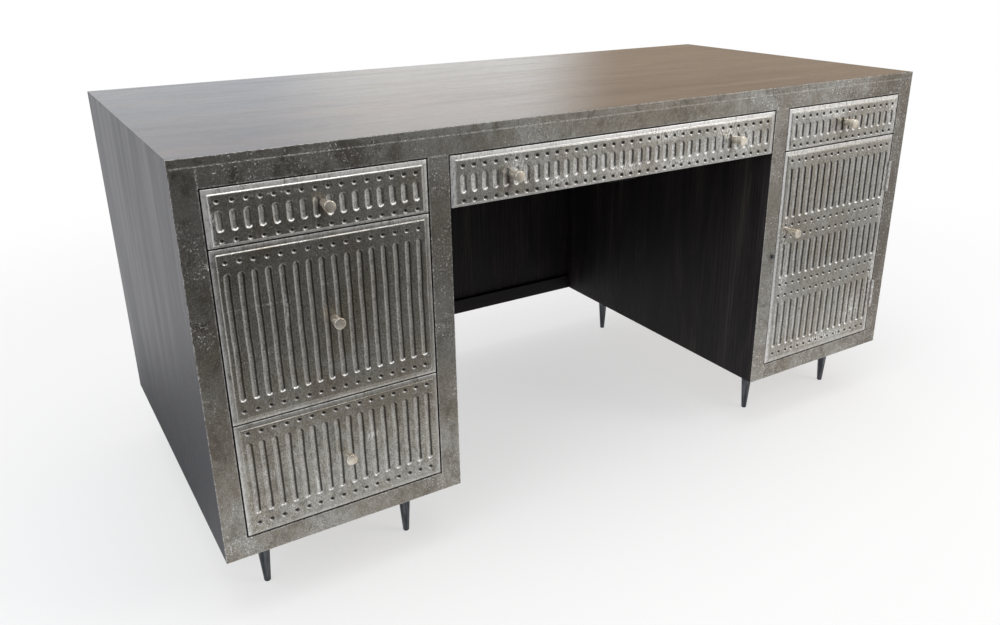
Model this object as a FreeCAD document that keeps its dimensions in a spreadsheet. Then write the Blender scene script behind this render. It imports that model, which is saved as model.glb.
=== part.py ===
"""Executive desk with two pedestals, a kneehole, five drawers and a cupboard door.

Millimetres. X runs to the right seen from the front, Y to the back, Z up from the floor.
The fronts and the face frame are wood wrapped in sheet metal; the fronts are embossed with
columns of slots that have a dot at each end.
"""
import FreeCAD, Part
import os
import re
import Sketcher

# Driving dimensions
DIMENSIONS = {
    # Whole desk, from the floor up and from the face of the metal frame to the back
    "desk_width": 1550,
    "desk_depth": 720,
    "desk_height": 760,
    "leg_length": 120,
    "pedestal_width": 414,
    # Wooden carcass
    "panel_thick": 25,
    "back_thick": 12,
    "floor_thick": 18,
    "dust_board_thick": 12,
    "dust_board_drop": 6,
    "modesty_rail_height": 36,
    "modesty_rail_thick": 10,
    # Face frame and the sheet metal on it
    "stile_width": 36,
    "top_band": 43,
    "edge_strip_height": 13,
    "bottom_band": 34,
    "frame_depth": 20,
    "sheet_thick": 1,
    "sheet_return": 14,
    # Legs
    "leg_top_diameter": 28,
    "leg_foot_diameter": 11.5,
    "leg_foot_edge": 1.5,
    "leg_inset_side": 76,
    "leg_inset_front": 82,
    # Drawer and door fronts
    "front_gap": 2.5,
    "shallow_front_height": 84,
    "file_front_height": 275,
    "front_board_thick": 20,
    # Embossed metal skins
    "skin_wall": 1.2,
    "skin_return": 14,
    "skin_edge_thick": 1,
    "skin_fit": 0.2,
    "field_border": 7,
    "shallow_border_low": 2.5,
    "field_rise": 2,
    "field_bevel_angle": 45,
    "column_pitch": 19.85,
    "pattern_margin": 19,
    "slot_width": 9.4,
    "slot_corner": 2.8,
    "slot_depth": 2.2,
    "slot_draft_angle": 20,
    "dot_diameter": 6.6,
    "dot_depth": 1.9,
    "dot_row_inset": 20,
    "slot_dot_gap": 16.5,
    "shallow_row_top": 18,
    "shallow_row_low": 9,
    "shallow_slot_gap": 13,
    "low_row_top": 15,
    "door_middle_tier": 108,
    "door_tier_gap": 25,
    "door_slot_gap": 15.5,
    # Knobs
    "knob_length": 28,
    "knob_base_diameter": 12,
    "knob_end_diameter": 18.5,
    "knob_edge": 1,
    "pencil_knob_columns": 12.5,
    # Drawer boxes and runners
    "side_gap": 3,
    "pencil_side_gap": 12,
    "drawer_depth": 580,
    "pencil_depth": 450,
    "side_thick": 14,
    "drawer_back_thick": 12,
    "drawer_bottom_thick": 6,
    "bottom_lift": 8,
    "bottom_groove_depth": 6,
    "groove_fit": 0.2,
    "box_low_gap": 8,
    "box_top_gap": 16,
    "runner_height": 16,
    "runner_bite": 6.5,
    "runner_groove_depth": 7,
    "runner_clearance": 0.3,
    "stop_gap": 0.5,
    "lip_width": 80,
    "lip_depth": 18,
    "lip_drop": 9,
    # Door hinges, catch and the screw that holds it
    "hinge_height": 67,
    "hinge_low": 98,
    "hinge_high": 380,
    "leaf_thick": 0.9,
    "leaf_width": 14,
    "barrel_diameter": 5,
    "barrel_gap": 0.3,
    "pin_diameter": 2.6,
    "pin_clearance": 0.05,
    "knuckle_gap": 0.3,
    "catch_height": 287.5,
    "catch_width": 30,
    "catch_depth": 12,
    "catch_tall": 40,
    "catch_gap": 0.3,
    "plate_thick": 1.5,
    "plate_width": 24,
    "plate_tall": 36,
    "screw_diameter": 4,
    "screw_bite": 8,
    "screw_clearance": 0.1,
    "screw_head_diameter": 9,
    "screw_head_height": 2.2,
    "screw_slot_width": 1.4,
    "screw_slot_depth": 1,
}

# Places and sizes that follow from the driving dimensions
LAYOUT = {
    # The origin is on the floor, in the middle of the box round desk and knobs
    "knob_reach": "field_rise + knob_length",
    "front_y": "(knob_reach - desk_depth) / 2",
    "back_y": "(knob_reach + desk_depth) / 2",
    "wood_y": "front_y + sheet_thick",
    "wood_depth": "desk_depth - sheet_thick",
    "half_width": "desk_width / 2",
    "inside_x": "half_width - panel_thick",
    "knee_x": "half_width - pedestal_width",
    "bay_x": "knee_x + panel_thick",
    "bay_width": "inside_x - bay_x",
    "pedestal_x": "(half_width + knee_x) / 2",
    "body_height": "desk_height - leg_length",
    "under_top_z": "desk_height - panel_thick",
    "carcass_height": "under_top_z - leg_length",
    # Openings of the face frame
    "opening_low_z": "leg_length + bottom_band",
    "opening_high_z": "desk_height - top_band",
    "opening_outer_x": "half_width - stile_width",
    "opening_inner_x": "knee_x + stile_width",
    "opening_width": "opening_outer_x - opening_inner_x",
    "stile_height": "opening_high_z - leg_length",
    "batten_width": "stile_width - panel_thick - sheet_thick",
    "rail_sheet_height": "top_band - edge_strip_height",
    # Fronts
    "front_width": "opening_width - 2 * front_gap",
    "pencil_front_width": "2 * (knee_x - front_gap)",
    "shallow_front_z": "opening_high_z - front_gap - shallow_front_height",
    "file_front_z": "shallow_front_z - front_gap - file_front_height",
    "low_front_z": "opening_low_z + front_gap",
    "low_front_height": "file_front_z - front_gap - low_front_z",
    "door_height": "shallow_front_z - front_gap - low_front_z",
    "board_inset": "skin_edge_thick + skin_fit",
    "board_y": "front_y + skin_wall",
    "box_y": "board_y + front_board_thick",
    "bay_y": "max(box_y + stop_gap; wood_y + frame_depth)",
    # Embossed pattern
    "columns": "floor((front_width - 2 * pattern_margin) / column_pitch) + 1",
    "pencil_columns": "floor((pencil_front_width - 2 * pattern_margin) / column_pitch) + 1",
    "first_column": "(columns - 1) * column_pitch / 2",
    "door_tier": "(door_height - 2 * dot_row_inset - 2 * door_tier_gap - door_middle_tier) / 2",
    "door_low_tier_top": "dot_row_inset + door_tier",
    "door_middle_low": "door_low_tier_top + door_tier_gap",
    "door_middle_top": "door_middle_low + door_middle_tier",
    "door_top_tier_low": "door_middle_top + door_tier_gap",
    # Drawer boxes
    "box_width": "opening_width - 2 * side_gap",
    "pencil_box_width": "2 * (knee_x - pencil_side_gap)",
    "bottom_top": "bottom_lift + drawer_bottom_thick",
    # Door hardware
    "barrel_x": "opening_outer_x - front_gap / 2",
    "barrel_y": "front_y - barrel_gap - barrel_diameter / 2",
    "knuckle": "hinge_height / 3",
    "leaf_reach": "front_y - barrel_y + leaf_width",
    "barrel_clear": "barrel_diameter / 2 + knuckle_gap",
    "catch_y": "box_y + plate_thick + catch_gap",
    "catch_z": "leg_length + catch_height",
    "screw_x": "opening_inner_x - sheet_thick - batten_width / 2",
    "screw_hole": "screw_diameter / 2 + screw_clearance",
    "screw_reach": "catch_y - front_y + screw_bite",
    "lip_height": "lip_drop + box_low_gap + bottom_lift",
}

NAMES = set(DIMENSIONS) | set(LAYOUT)
# Flats round a punched dot and round a turned leg or knob
DOT_SIDES = 6
TURNED_SIDES = 24
# Legs under a pedestal: in each row from side to side, and rows from front to back
LEGS_PER_ROW = 2
LEG_ROWS = 2

doc = FreeCAD.newDocument("executive_desk")
sheet = doc.addObject("Spreadsheet::Sheet", "size")
nodes = []


def fill_sheet():
    """Write each driving dimension and each derived place in a cell with an alias."""
    cells = {name: str(value) for name, value in DIMENSIONS.items()}
    cells.update({name: "=" + formula for name, formula in LAYOUT.items()})
    for row, (name, content) in enumerate(cells.items(), start=1):
        sheet.set(f"A{row}", name)
        sheet.set(f"B{row}", content)
        sheet.setAlias(f"B{row}", name)
    doc.recompute()


def number(formula):
    """Present value of a formula in the sheet's names."""
    return float(sheet.evalExpression(formula))


def bind(target, path, formula):
    """Tie a property to a formula in the sheet's names."""
    target.setExpression(path, re.sub(r"[a-z]\w+", on_sheet, formula))


def on_sheet(match):
    word = match.group()
    return "size." + word if word in NAMES else word


def node(piece, label):
    """Keep a finished piece under the name that its file gets."""
    piece.Label = label
    nodes.append(piece)
    return piece


def new_body(name, x="0", y="0", z="0"):
    body = doc.addObject("PartDesign::Body", name)
    for axis, formula in zip("xyz", (x, y, z)):
        bind(body, ".Placement.Base." + axis, formula)
    return body


def origin_part(body, role):
    return next(part for part in body.Origin.OriginFeatures if part.Role == role)


def new_sketch(body, plane, offset="0"):
    """Empty sketch on one of the body's own planes, moved along the plane's normal."""
    sketch = body.newObject("Sketcher::SketchObject", "sketch")
    sketch.AttachmentSupport = [(origin_part(body, plane + "_Plane"), "")]
    sketch.MapMode = "FlatFace"
    bind(sketch, ".AttachmentOffset.Base.z", offset)
    return sketch


def hold(sketch, geometry, vertex, across, up):
    """Hold a vertex of the sketch at two formulas, measured from the sketch's origin."""
    for kind, formula in (("DistanceX", across), ("DistanceY", up)):
        limit = Sketcher.Constraint(kind, -1, 1, geometry, vertex, number(formula))
        index = sketch.addConstraint(limit)
        bind(sketch, f"Constraints[{index}]", formula)


def outline(sketch, corners):
    """Closed outline of straight lines through corners given as pairs of formulas."""
    points = [FreeCAD.Vector(number(across), number(up), 0) for across, up in corners]
    first = sketch.GeometryCount
    count = len(points)
    for index, point in enumerate(points):
        sketch.addGeometry(Part.LineSegment(point, points[(index + 1) % count]))
    for index, (across, up) in enumerate(corners):
        following = first + (index + 1) % count
        sketch.addConstraint(Sketcher.Constraint("Coincident", first + index, 2, following, 1))
        hold(sketch, first + index, 1, across, up)


def rectangle(sketch, left, low, right, high):
    outline(sketch, [(left, low), (right, low), (right, high), (left, high)])


def flats(sketch, across, up, diameter, sides):
    """Regular outline round a middle point; the diameter is measured across the flats."""
    reach = f"{diameter} / 2 / cos(180 deg / {sides})"
    corners = []
    for corner in range(sides):
        turn = 360 * (corner + 0.5) / sides
        corners.append((f"{across} + {reach} * cos({turn} deg)", f"{up} + {reach} * sin({turn} deg)"))
    outline(sketch, corners)


def circle(sketch, across, up, radius):
    middle = FreeCAD.Vector(number(across), number(up), 0)
    ring = sketch.addGeometry(Part.Circle(middle, FreeCAD.Vector(0, 0, 1), number(radius)))
    hold(sketch, ring, 3, across, up)
    index = sketch.addConstraint(Sketcher.Constraint("Radius", ring, number(radius)))
    bind(sketch, f"Constraints[{index}]", radius)


def pad(body, sketch, length, backwards=False, taper="0"):
    """Pad along the sketch's normal, or against it."""
    feature = body.newObject("PartDesign::Pad", "pad")
    feature.Profile = sketch
    bind(feature, "Length", length)
    bind(feature, "TaperAngle", taper)
    feature.Reversed = backwards
    return feature


def pocket(body, sketch, length, backwards=False, taper="0"):
    """Cut against the sketch's normal, or along it."""
    feature = body.newObject("PartDesign::Pocket", "pocket")
    feature.Profile = sketch
    bind(feature, "Length", length)
    bind(feature, "TaperAngle", taper)
    feature.Reversed = backwards
    return feature


def turn_taper(body, near, far, length):
    """Turning along the body's Z that widens from one diameter to another: a prism with drafted flats."""
    sketch = new_sketch(body, "XY")
    flats(sketch, "0", "0", near, TURNED_SIDES)
    shaft = pad(body, sketch, length)
    doc.recompute()
    draft = body.newObject("PartDesign::Draft", "draft")
    draft.Base = (shaft, [name for name, face in named_faces(shaft) if len(face.Edges) < TURNED_SIDES])
    draft.NeutralPlane = (origin_part(body, "XY_Plane"), [""])
    draft.Reversed = True
    bind(draft, "Angle", f"atan(({far} - {near}) / 2 / ({length}))")
    doc.recompute()
    return draft


def chamfer_turning(body, turning, size, far_end):
    """Chamfer round one end of a turning: the far end, or the one at the body's origin."""
    ends = [item for item in named_faces(turning) if len(item[1].Edges) == TURNED_SIDES]
    ends.sort(key=lambda item: item[1].CenterOfMass.Length)
    name, _ = ends[-1 if far_end else 0]
    chamfer = body.newObject("PartDesign::Chamfer", "chamfer")
    chamfer.Base = (turning, [name])
    bind(chamfer, "Size", size)
    return chamfer


def named_faces(feature):
    return [(f"Face{index}", face) for index, face in enumerate(feature.Shape.Faces, start=1)]


def revolve(body, sketch):
    """Full turn about the sketch's own upright axis."""
    feature = body.newObject("PartDesign::Revolution", "turning")
    feature.Profile = sketch
    feature.ReferenceAxis = (sketch, ["V_Axis"])
    feature.Angle = 360
    return feature


def row(body, originals, axis, count, length):
    """Even row of copies of some features, or of the whole body if none is named, along its axis."""
    pattern = body.newObject("PartDesign::LinearPattern", "row")
    if originals:
        pattern.Originals = originals
    else:
        pattern.TransformMode = "Whole shape"
    pattern.Direction = (origin_part(body, axis + "_Axis"), [""])
    bind(pattern, "Occurrences", count)
    bind(pattern, "Length", length)
    body.Tip = pattern
    return pattern


def mirror_pair(body, originals):
    """Add the mirror image across the body's own middle plane."""
    pair = body.newObject("PartDesign::Mirrored", "pair")
    pair.Originals = originals
    pair.MirrorPlane = (origin_part(body, "YZ_Plane"), [""])
    body.Tip = pair
    return pair


def board(name, low, high):
    """Plain rectangular board between two corners."""
    body = new_body(name, *low)
    sketch = new_sketch(body, "XY")
    width, depth, height = (f"({end}) - ({start})" for start, end in zip(low, high))
    rectangle(sketch, "0", "0", width, depth)
    pad(body, sketch, height)
    return body


def mirrored(source):
    """The same piece on the other side of the desk."""
    image = doc.addObject("Part::Mirroring", source.Name + "_image")
    image.Source = source
    image.Normal = FreeCAD.Vector(1, 0, 0)
    return image


def group(pieces, label):
    """Several like pieces, each its own solid, kept as one node."""
    compound = doc.addObject("Part::Compound", label)
    compound.Links = pieces
    return node(compound, label)


def build_top_and_ends():
    """Top panel and end panels, mitred together along the desk's upper side edges."""
    top = new_body("top_panel", "0", "wood_y", "under_top_z")
    sketch = new_sketch(top, "XZ")
    corners = [("-inside_x", "0"), ("inside_x", "0")]
    corners += [("half_width", "panel_thick"), ("-half_width", "panel_thick")]
    outline(sketch, corners)
    pad(top, sketch, "wood_depth", backwards=True)
    node(top, "top_panel")

    end = new_body("left_end_panel", "0", "wood_y", "leg_length")
    sketch = new_sketch(end, "XZ")
    corners = [("-half_width", "0"), ("-inside_x", "0")]
    corners += [("-inside_x", "carcass_height"), ("-half_width", "body_height")]
    outline(sketch, corners)
    pad(end, sketch, "wood_depth", backwards=True)
    node(end, "left_end_panel")
    node(mirrored(end), "right_end_panel")


def build_pedestals():
    """Inner panels notched for the top rail, floors, backs and the board over the cupboard."""
    inner = new_body("left_inner_panel", "-bay_x", "wood_y", "leg_length")
    sketch = new_sketch(inner, "YZ")
    corners = [("0", "0"), ("wood_depth", "0"), ("wood_depth", "carcass_height")]
    corners += [("frame_depth", "carcass_height"), ("frame_depth", "stile_height"), ("0", "stile_height")]
    outline(sketch, corners)
    pad(inner, sketch, "panel_thick")
    node(inner, "left_inner_panel")
    node(mirrored(inner), "right_inner_panel")

    floor_low = ("-inside_x", "wood_y + frame_depth", "leg_length")
    floor_high = ("-bay_x", "back_y - back_thick", "leg_length + floor_thick")
    floor = node(board("left_floor_panel", floor_low, floor_high), "left_floor_panel")
    node(mirrored(floor), "right_floor_panel")

    back_low = ("-inside_x", "back_y - back_thick", "leg_length")
    back_high = ("-bay_x", "back_y", "under_top_z")
    back = node(board("left_back_panel", back_low, back_high), "left_back_panel")
    node(mirrored(back), "right_back_panel")

    dust_top = "low_front_z + door_height - dust_board_drop"
    dust_low = ("bay_x", "bay_y", dust_top + " - dust_board_thick")
    dust_high = ("inside_x", "back_y - back_thick", dust_top)
    node(board("dust_board", dust_low, dust_high), "dust_board")


def build_modesty():
    panel_low = ("-knee_x", "back_y - back_thick", "leg_length")
    panel_high = ("knee_x", "back_y", "under_top_z")
    node(board("modesty_panel", panel_low, panel_high), "modesty_panel")
    rail_low = ("-knee_x", "back_y - back_thick - modesty_rail_thick", "leg_length")
    rail_high = ("knee_x", "back_y - back_thick", "leg_length + modesty_rail_height")
    node(board("modesty_rail", rail_low, rail_high), "modesty_rail")


def build_frame_wood():
    """Wooden rails and stile battens behind the metal face."""
    frame_back = "wood_y + frame_depth"
    top_low = ("-inside_x", "wood_y", "opening_high_z + sheet_thick")
    top_high = ("inside_x", frame_back, "under_top_z")
    low_low = ("-opening_outer_x", "wood_y", "leg_length")
    low_high = ("-opening_inner_x", frame_back, "opening_low_z - sheet_thick")
    top_rail = board("top_rail", top_low, top_high)
    low_rail = board("low_rail", low_low, low_high)
    group([top_rail, low_rail, mirrored(low_rail)], "face_rails")

    outer_low = ("-inside_x", "wood_y", "leg_length")
    outer_high = ("-inside_x + batten_width", frame_back, "opening_high_z")
    outer = board("outer_batten", outer_low, outer_high)
    inner_low = ("bay_x", "wood_y", "leg_length")
    inner_high = ("bay_x + batten_width", frame_back, "opening_high_z")
    inner = board("inner_batten", inner_low, inner_high)
    drilled = board("drilled_batten", inner_low, inner_high)
    drill_for_screw(drilled, "bay_x", "0", "frame_depth")
    group([outer, mirrored(outer), mirrored(inner), drilled], "stile_battens")


def drill_for_screw(body, body_x, start, depth):
    """Hole for the catch screw, straight back from a plane of the body."""
    sketch = new_sketch(body, "XZ", f"-({start})")
    circle(sketch, f"screw_x - ({body_x})", "catch_height", "screw_hole")
    pocket(body, sketch, depth)


def build_frame_metal():
    """Sheet metal of the face frame: folded stile and rail sheets and the strip on the top's edge."""
    outer = new_body("outer_sheet", "-half_width", "front_y", "leg_length")
    fold = [("stile_width", "0"), ("stile_width", "sheet_return")]
    fold += [("stile_width - sheet_thick", "sheet_return"), ("stile_width - sheet_thick", "sheet_thick")]
    sketch = new_sketch(outer, "XY")
    outline(sketch, [("0", "0")] + fold + [("0", "sheet_thick")])
    pad(outer, sketch, "stile_height")
    sketch = new_sketch(outer, "XY", "stile_height")
    rectangle(sketch, "0", "0", "stile_width", "sheet_thick")
    pad(outer, sketch, "rail_sheet_height")

    left_inner = inner_stile_sheet("left_inner_sheet")
    right_inner = inner_stile_sheet("right_inner_sheet")
    right_image = mirrored(right_inner)
    drilled = drilled_copy(right_image)
    group([outer, mirrored(outer), left_inner, drilled], "stile_sheets")

    top = new_body("top_rail_sheet", "-opening_outer_x", "front_y", "opening_high_z")
    sketch = new_sketch(top, "YZ")
    corners = [("0", "0"), ("sheet_return", "0"), ("sheet_return", "sheet_thick")]
    corners += [("sheet_thick", "sheet_thick"), ("sheet_thick", "rail_sheet_height")]
    outline(sketch, corners + [("0", "rail_sheet_height")])
    pad(top, sketch, "2 * opening_outer_x")

    low = new_body("low_rail_sheet", "-opening_outer_x", "front_y", "leg_length")
    sketch = new_sketch(low, "YZ")
    corners = [("0", "0"), ("sheet_thick", "0"), ("sheet_thick", "bottom_band - sheet_thick")]
    corners += [("sheet_return", "bottom_band - sheet_thick"), ("sheet_return", "bottom_band")]
    outline(sketch, corners + [("0", "bottom_band")])
    pad(low, sketch, "opening_width")
    group([top, low, mirrored(low)], "rail_sheets")

    strip_low = ("-half_width", "front_y", "desk_height - edge_strip_height")
    strip_high = ("half_width", "wood_y", "desk_height")
    node(board("top_edge_strip", strip_low, strip_high), "top_edge_strip")


def inner_stile_sheet(name):
    """Sheet of a left inner stile, folded into the drawer opening on its left."""
    sheet_body = new_body(name, "-opening_inner_x", "front_y", "leg_length")
    sketch = new_sketch(sheet_body, "XY")
    corners = [("0", "0"), ("stile_width", "0"), ("stile_width", "sheet_thick")]
    corners += [("sheet_thick", "sheet_thick"), ("sheet_thick", "sheet_return"), ("0", "sheet_return")]
    outline(sketch, corners)
    pad(sheet_body, sketch, "stile_height")
    return sheet_body


def drilled_copy(source):
    """The sheet with the catch screw's hole through it."""
    drill = doc.addObject("Part::Cylinder", "screw_drill")
    bind(drill, "Radius", "screw_hole")
    bind(drill, "Height", "sheet_thick")
    bind(drill, ".Placement.Base.x", "screw_x")
    bind(drill, ".Placement.Base.y", "wood_y")
    bind(drill, ".Placement.Base.z", "catch_z")
    drill.Placement.Rotation = FreeCAD.Rotation(FreeCAD.Vector(1, 0, 0), 90)
    cut = doc.addObject("Part::Cut", "drilled_sheet")
    cut.Base = source
    cut.Tool = drill
    return cut


def build_legs():
    """Tapered round legs, four under each pedestal."""
    legs = new_body("left_legs", "-half_width + leg_inset_side", "front_y + leg_inset_front", "0")
    turned = turn_taper(legs, "leg_foot_diameter", "leg_top_diameter", "leg_length")
    chamfer_turning(legs, turned, "leg_foot_edge", far_end=False)
    grid = row(legs, [], "X", str(LEGS_PER_ROW), "pedestal_width - 2 * leg_inset_side")
    grid.Direction2 = (origin_part(legs, "Y_Axis"), [""])
    grid.Occurrences2 = LEG_ROWS
    bind(grid, "Length2", "desk_depth - 2 * leg_inset_front")
    node(legs, "left_legs")
    node(mirrored(legs), "right_legs")


def punch_slot(body, middle, low, high):
    """Slot with cut corners and sloping walls, between two heights."""
    sketch = new_sketch(body, "XZ", "field_rise")
    wide = "slot_width / 2"
    narrow = "slot_width / 2 - slot_corner"
    low_corner = f"{low} + slot_corner"
    high_corner = f"{high} - slot_corner"
    right = [(narrow, low), (wide, low_corner), (wide, high_corner), (narrow, high)]
    corners = [(f"{middle} + {across}", up) for across, up in right]
    corners += [(f"{middle} - ({across})", up) for across, up in reversed(right)]
    outline(sketch, corners)
    return pocket(body, sketch, "slot_depth", taper="-slot_draft_angle")


def punch_dot(body, middle, up):
    """Pointed dimple."""
    rim = new_sketch(body, "XZ", "field_rise")
    flats(rim, middle, up, "dot_diameter", DOT_SIDES)
    tip = new_sketch(body, "XZ", "field_rise - dot_depth")
    point = tip.addGeometry(Part.Point(FreeCAD.Vector(number(middle), number(up), 0)))
    hold(tip, point, 1, middle, up)
    dimple = body.newObject("PartDesign::SubtractiveLoft", "dimple")
    dimple.Profile = (rim, [""])
    dimple.Sections = [(tip, ["Vertex1"])]
    dimple.Ruled = True
    return dimple


def build_skin(name, place, width, height, tiers, low_border, count):
    """Embossed skin: a tray folded round the board, a raised field and columns of slots and dots.

    Each tier is the height of its lower dots, of its upper dots, and the gap from dot to slot.
    """
    skin = new_body(name, place[0], "front_y", place[1])
    half = f"({width}) / 2"
    sketch = new_sketch(skin, "XZ")
    rectangle(sketch, "-" + half, "0", half, height)
    pad(skin, sketch, "skin_return", backwards=True)

    sketch = new_sketch(skin, "XZ", "-skin_wall")
    inner = f"{half} - skin_edge_thick"
    rectangle(sketch, f"-({inner})", "skin_edge_thick", inner, f"{height} - skin_edge_thick")
    pocket(skin, sketch, "skin_return - skin_wall")

    sketch = new_sketch(skin, "XZ")
    field = f"{half} - field_border"
    rectangle(sketch, f"-({field})", low_border, field, f"{height} - field_border")
    pad(skin, sketch, "field_rise", taper="-field_bevel_angle")

    pattern_width = f"({count} - 1) * column_pitch"
    first = f"-{pattern_width} / 2"
    marks = []
    for low, high, gap in tiers:
        marks.append(punch_slot(skin, first, f"{low} + {gap}", f"{high} - {gap}"))
        marks.append(punch_dot(skin, first, low))
        marks.append(punch_dot(skin, first, high))
    row(skin, marks, "X", count, pattern_width)
    return node(skin, name)


def build_front_board(name, place, width, height):
    """Wooden board inside the skin."""
    front = new_body(name, place[0], "board_y", place[1])
    half = f"({width}) / 2 - board_inset"
    sketch = new_sketch(front, "XZ")
    rectangle(sketch, f"-({half})", "board_inset", half, f"{height} - board_inset")
    pad(front, sketch, "front_board_thick", backwards=True)
    return node(front, name)


def build_knob(name, place, knobs):
    """Flared knob that stands on the field; a second knob stands as far beyond the middle."""
    across, up = knobs[0]
    knob = new_body(name, f"{place[0]} + {across}", "front_y - field_rise", f"{place[1]} + {up}")
    knob.Placement.Rotation = FreeCAD.Rotation(FreeCAD.Vector(1, 0, 0), 90)
    turned = turn_taper(knob, "knob_base_diameter", "knob_end_diameter", "knob_length")
    chamfer_turning(knob, turned, "knob_edge", far_end=True)
    if len(knobs) > 1:
        row(knob, [], "X", str(len(knobs)), f"-2 * ({across})")
    return node(knob, name)


def build_drawer_box(name, place, width, height, depth):
    """Sides grooved for runner and bottom, a back that stands on the bottom, and the bottom."""
    x, z = place[0], f"{place[1]} + box_low_gap"
    tall = f"({height} - box_low_gap - box_top_gap)"
    half = f"({width}) / 2"

    sides = new_body(name + "_sides", x, "box_y", z)
    sketch = new_sketch(sides, "YZ", f"{half} - side_thick")
    rectangle(sketch, "0", "0", depth, tall)
    side = pad(sides, sketch, "side_thick")
    sketch = new_sketch(sides, "YZ", half)
    reach = "runner_height / 2 + runner_clearance"
    rectangle(sketch, "0", f"{tall} / 2 - ({reach})", depth, f"{tall} / 2 + {reach}")
    runner_groove = pocket(sides, sketch, "runner_groove_depth")
    sketch = new_sketch(sides, "YZ", f"{half} - side_thick")
    rectangle(sketch, "0", "bottom_lift - groove_fit", depth, "bottom_top + groove_fit")
    bottom_groove = pocket(sides, sketch, "bottom_groove_depth", backwards=True)
    mirror_pair(sides, [side, runner_groove, bottom_groove])
    node(sides, name + "_sides")

    inside = f"{half} - side_thick"
    back_low = (f"{x} - ({inside})", f"box_y + {depth} - drawer_back_thick", f"{z} + bottom_top")
    back_high = (f"{x} + {inside}", f"box_y + {depth}", f"{z} + {tall}")
    node(board(name + "_back", back_low, back_high), name + "_back")

    held = f"{inside} + bottom_groove_depth - groove_fit"
    bottom_low = (f"{x} - ({held})", "box_y", f"{z} + bottom_lift")
    bottom_high = (f"{x} + {held}", f"box_y + {depth}", f"{z} + bottom_top")
    node(board(name + "_bottom", bottom_low, bottom_high), name + "_bottom")


def build_runners(name, place, width, height, depth, carrier):
    """Pair of wooden runners from the carrying panels into the grooves of a drawer's sides."""
    tall = f"({height} - box_low_gap - box_top_gap)"
    pair = new_body(name, place[0], "bay_y", f"{place[1]} + box_low_gap + {tall} / 2")
    sketch = new_sketch(pair, "XZ")
    rectangle(sketch, f"({width}) / 2 - runner_bite", "-runner_height / 2", carrier, "runner_height / 2")
    bar = pad(pair, sketch, f"box_y + {depth} - bay_y", backwards=True)
    mirror_pair(pair, [bar])
    return pair


def build_drawers():
    """Five drawers; each has a board, a skin, a box, a knob or two, and runners in the carcass."""
    shallow = [("shallow_row_low", "{height} - shallow_row_top", "shallow_slot_gap")]
    tall = [("dot_row_inset", "{height} - dot_row_inset", "slot_dot_gap")]
    lowest = [("dot_row_inset", "{height} - low_row_top", "slot_dot_gap")]
    pencil_knobs = ["-pencil_knob_columns * column_pitch", "pencil_knob_columns * column_pitch"]
    # Each bay: width of front and box, depth, half the way between its panels, columns, knobs
    pedestal = ("front_width", "box_width", "drawer_depth", "bay_width / 2", "columns", ["0"])
    kneehole = ("pencil_front_width", "pencil_box_width", "pencil_depth", "knee_x", "pencil_columns")
    kneehole += (pencil_knobs,)
    drawers = [
        ("left_top_drawer", ("-pedestal_x", "shallow_front_z"), "shallow_front_height", shallow, pedestal),
        ("left_file_drawer", ("-pedestal_x", "file_front_z"), "file_front_height", tall, pedestal),
        ("left_low_drawer", ("-pedestal_x", "low_front_z"), "low_front_height", lowest, pedestal),
        ("pencil_drawer", ("0", "shallow_front_z"), "shallow_front_height", shallow, kneehole),
        ("right_drawer", ("pedestal_x", "shallow_front_z"), "shallow_front_height", shallow, pedestal),
    ]
    runners = []
    for name, place, height, tiers, bay in drawers:
        front, box, depth, carrier, count, knob_places = bay
        knobs = [(across, f"{height} / 2") for across in knob_places]
        rows = [(low, high.format(height=height), gap) for low, high, gap in tiers]
        low_border = "shallow_border_low" if tiers is shallow else "field_border"
        build_skin(name + "_skin", place, front, height, rows, low_border, count)
        build_front_board(name + "_board", place, front, height)
        build_knob(name + "_knob", place, knobs)
        build_drawer_box(name, place, box, height, depth)
        runners.append(build_runners(name + "_runners", place, box, height, depth, carrier))
    group(runners, "drawer_runners")


def build_finger_lip():
    """Small wooden lip under the pencil drawer, just behind its front."""
    lip = new_body("pencil_drawer_lip", "0", "box_y", "shallow_front_z - lip_drop")
    sketch = new_sketch(lip, "XZ")
    half = "lip_width / 2"
    right = [(half + " - lip_drop", "0"), (half, "lip_drop"), (half, "lip_height")]
    left = [(f"-({across})", up) for across, up in reversed(right)]
    outline(sketch, right + left)
    pad(lip, sketch, "lip_depth", backwards=True)
    node(lip, "pencil_drawer_lip")


def build_door():
    """Cupboard door: board, skin with three tiers of slots, and a knob near its free edge."""
    place = ("pedestal_x", "low_front_z")
    tiers = [
        ("dot_row_inset", "door_low_tier_top", "door_slot_gap"),
        ("door_middle_low", "door_middle_top", "door_slot_gap"),
        ("door_top_tier_low", "door_height - dot_row_inset", "door_slot_gap"),
    ]
    knobs = [("column_pitch / 2 - first_column", "door_middle_top + door_tier_gap / 2")]
    build_skin("door_skin", place, "front_width", "door_height", tiers, "field_border", "columns")
    build_front_board("door_board", place, "front_width", "door_height")
    build_knob("door_knob", place, knobs)


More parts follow.
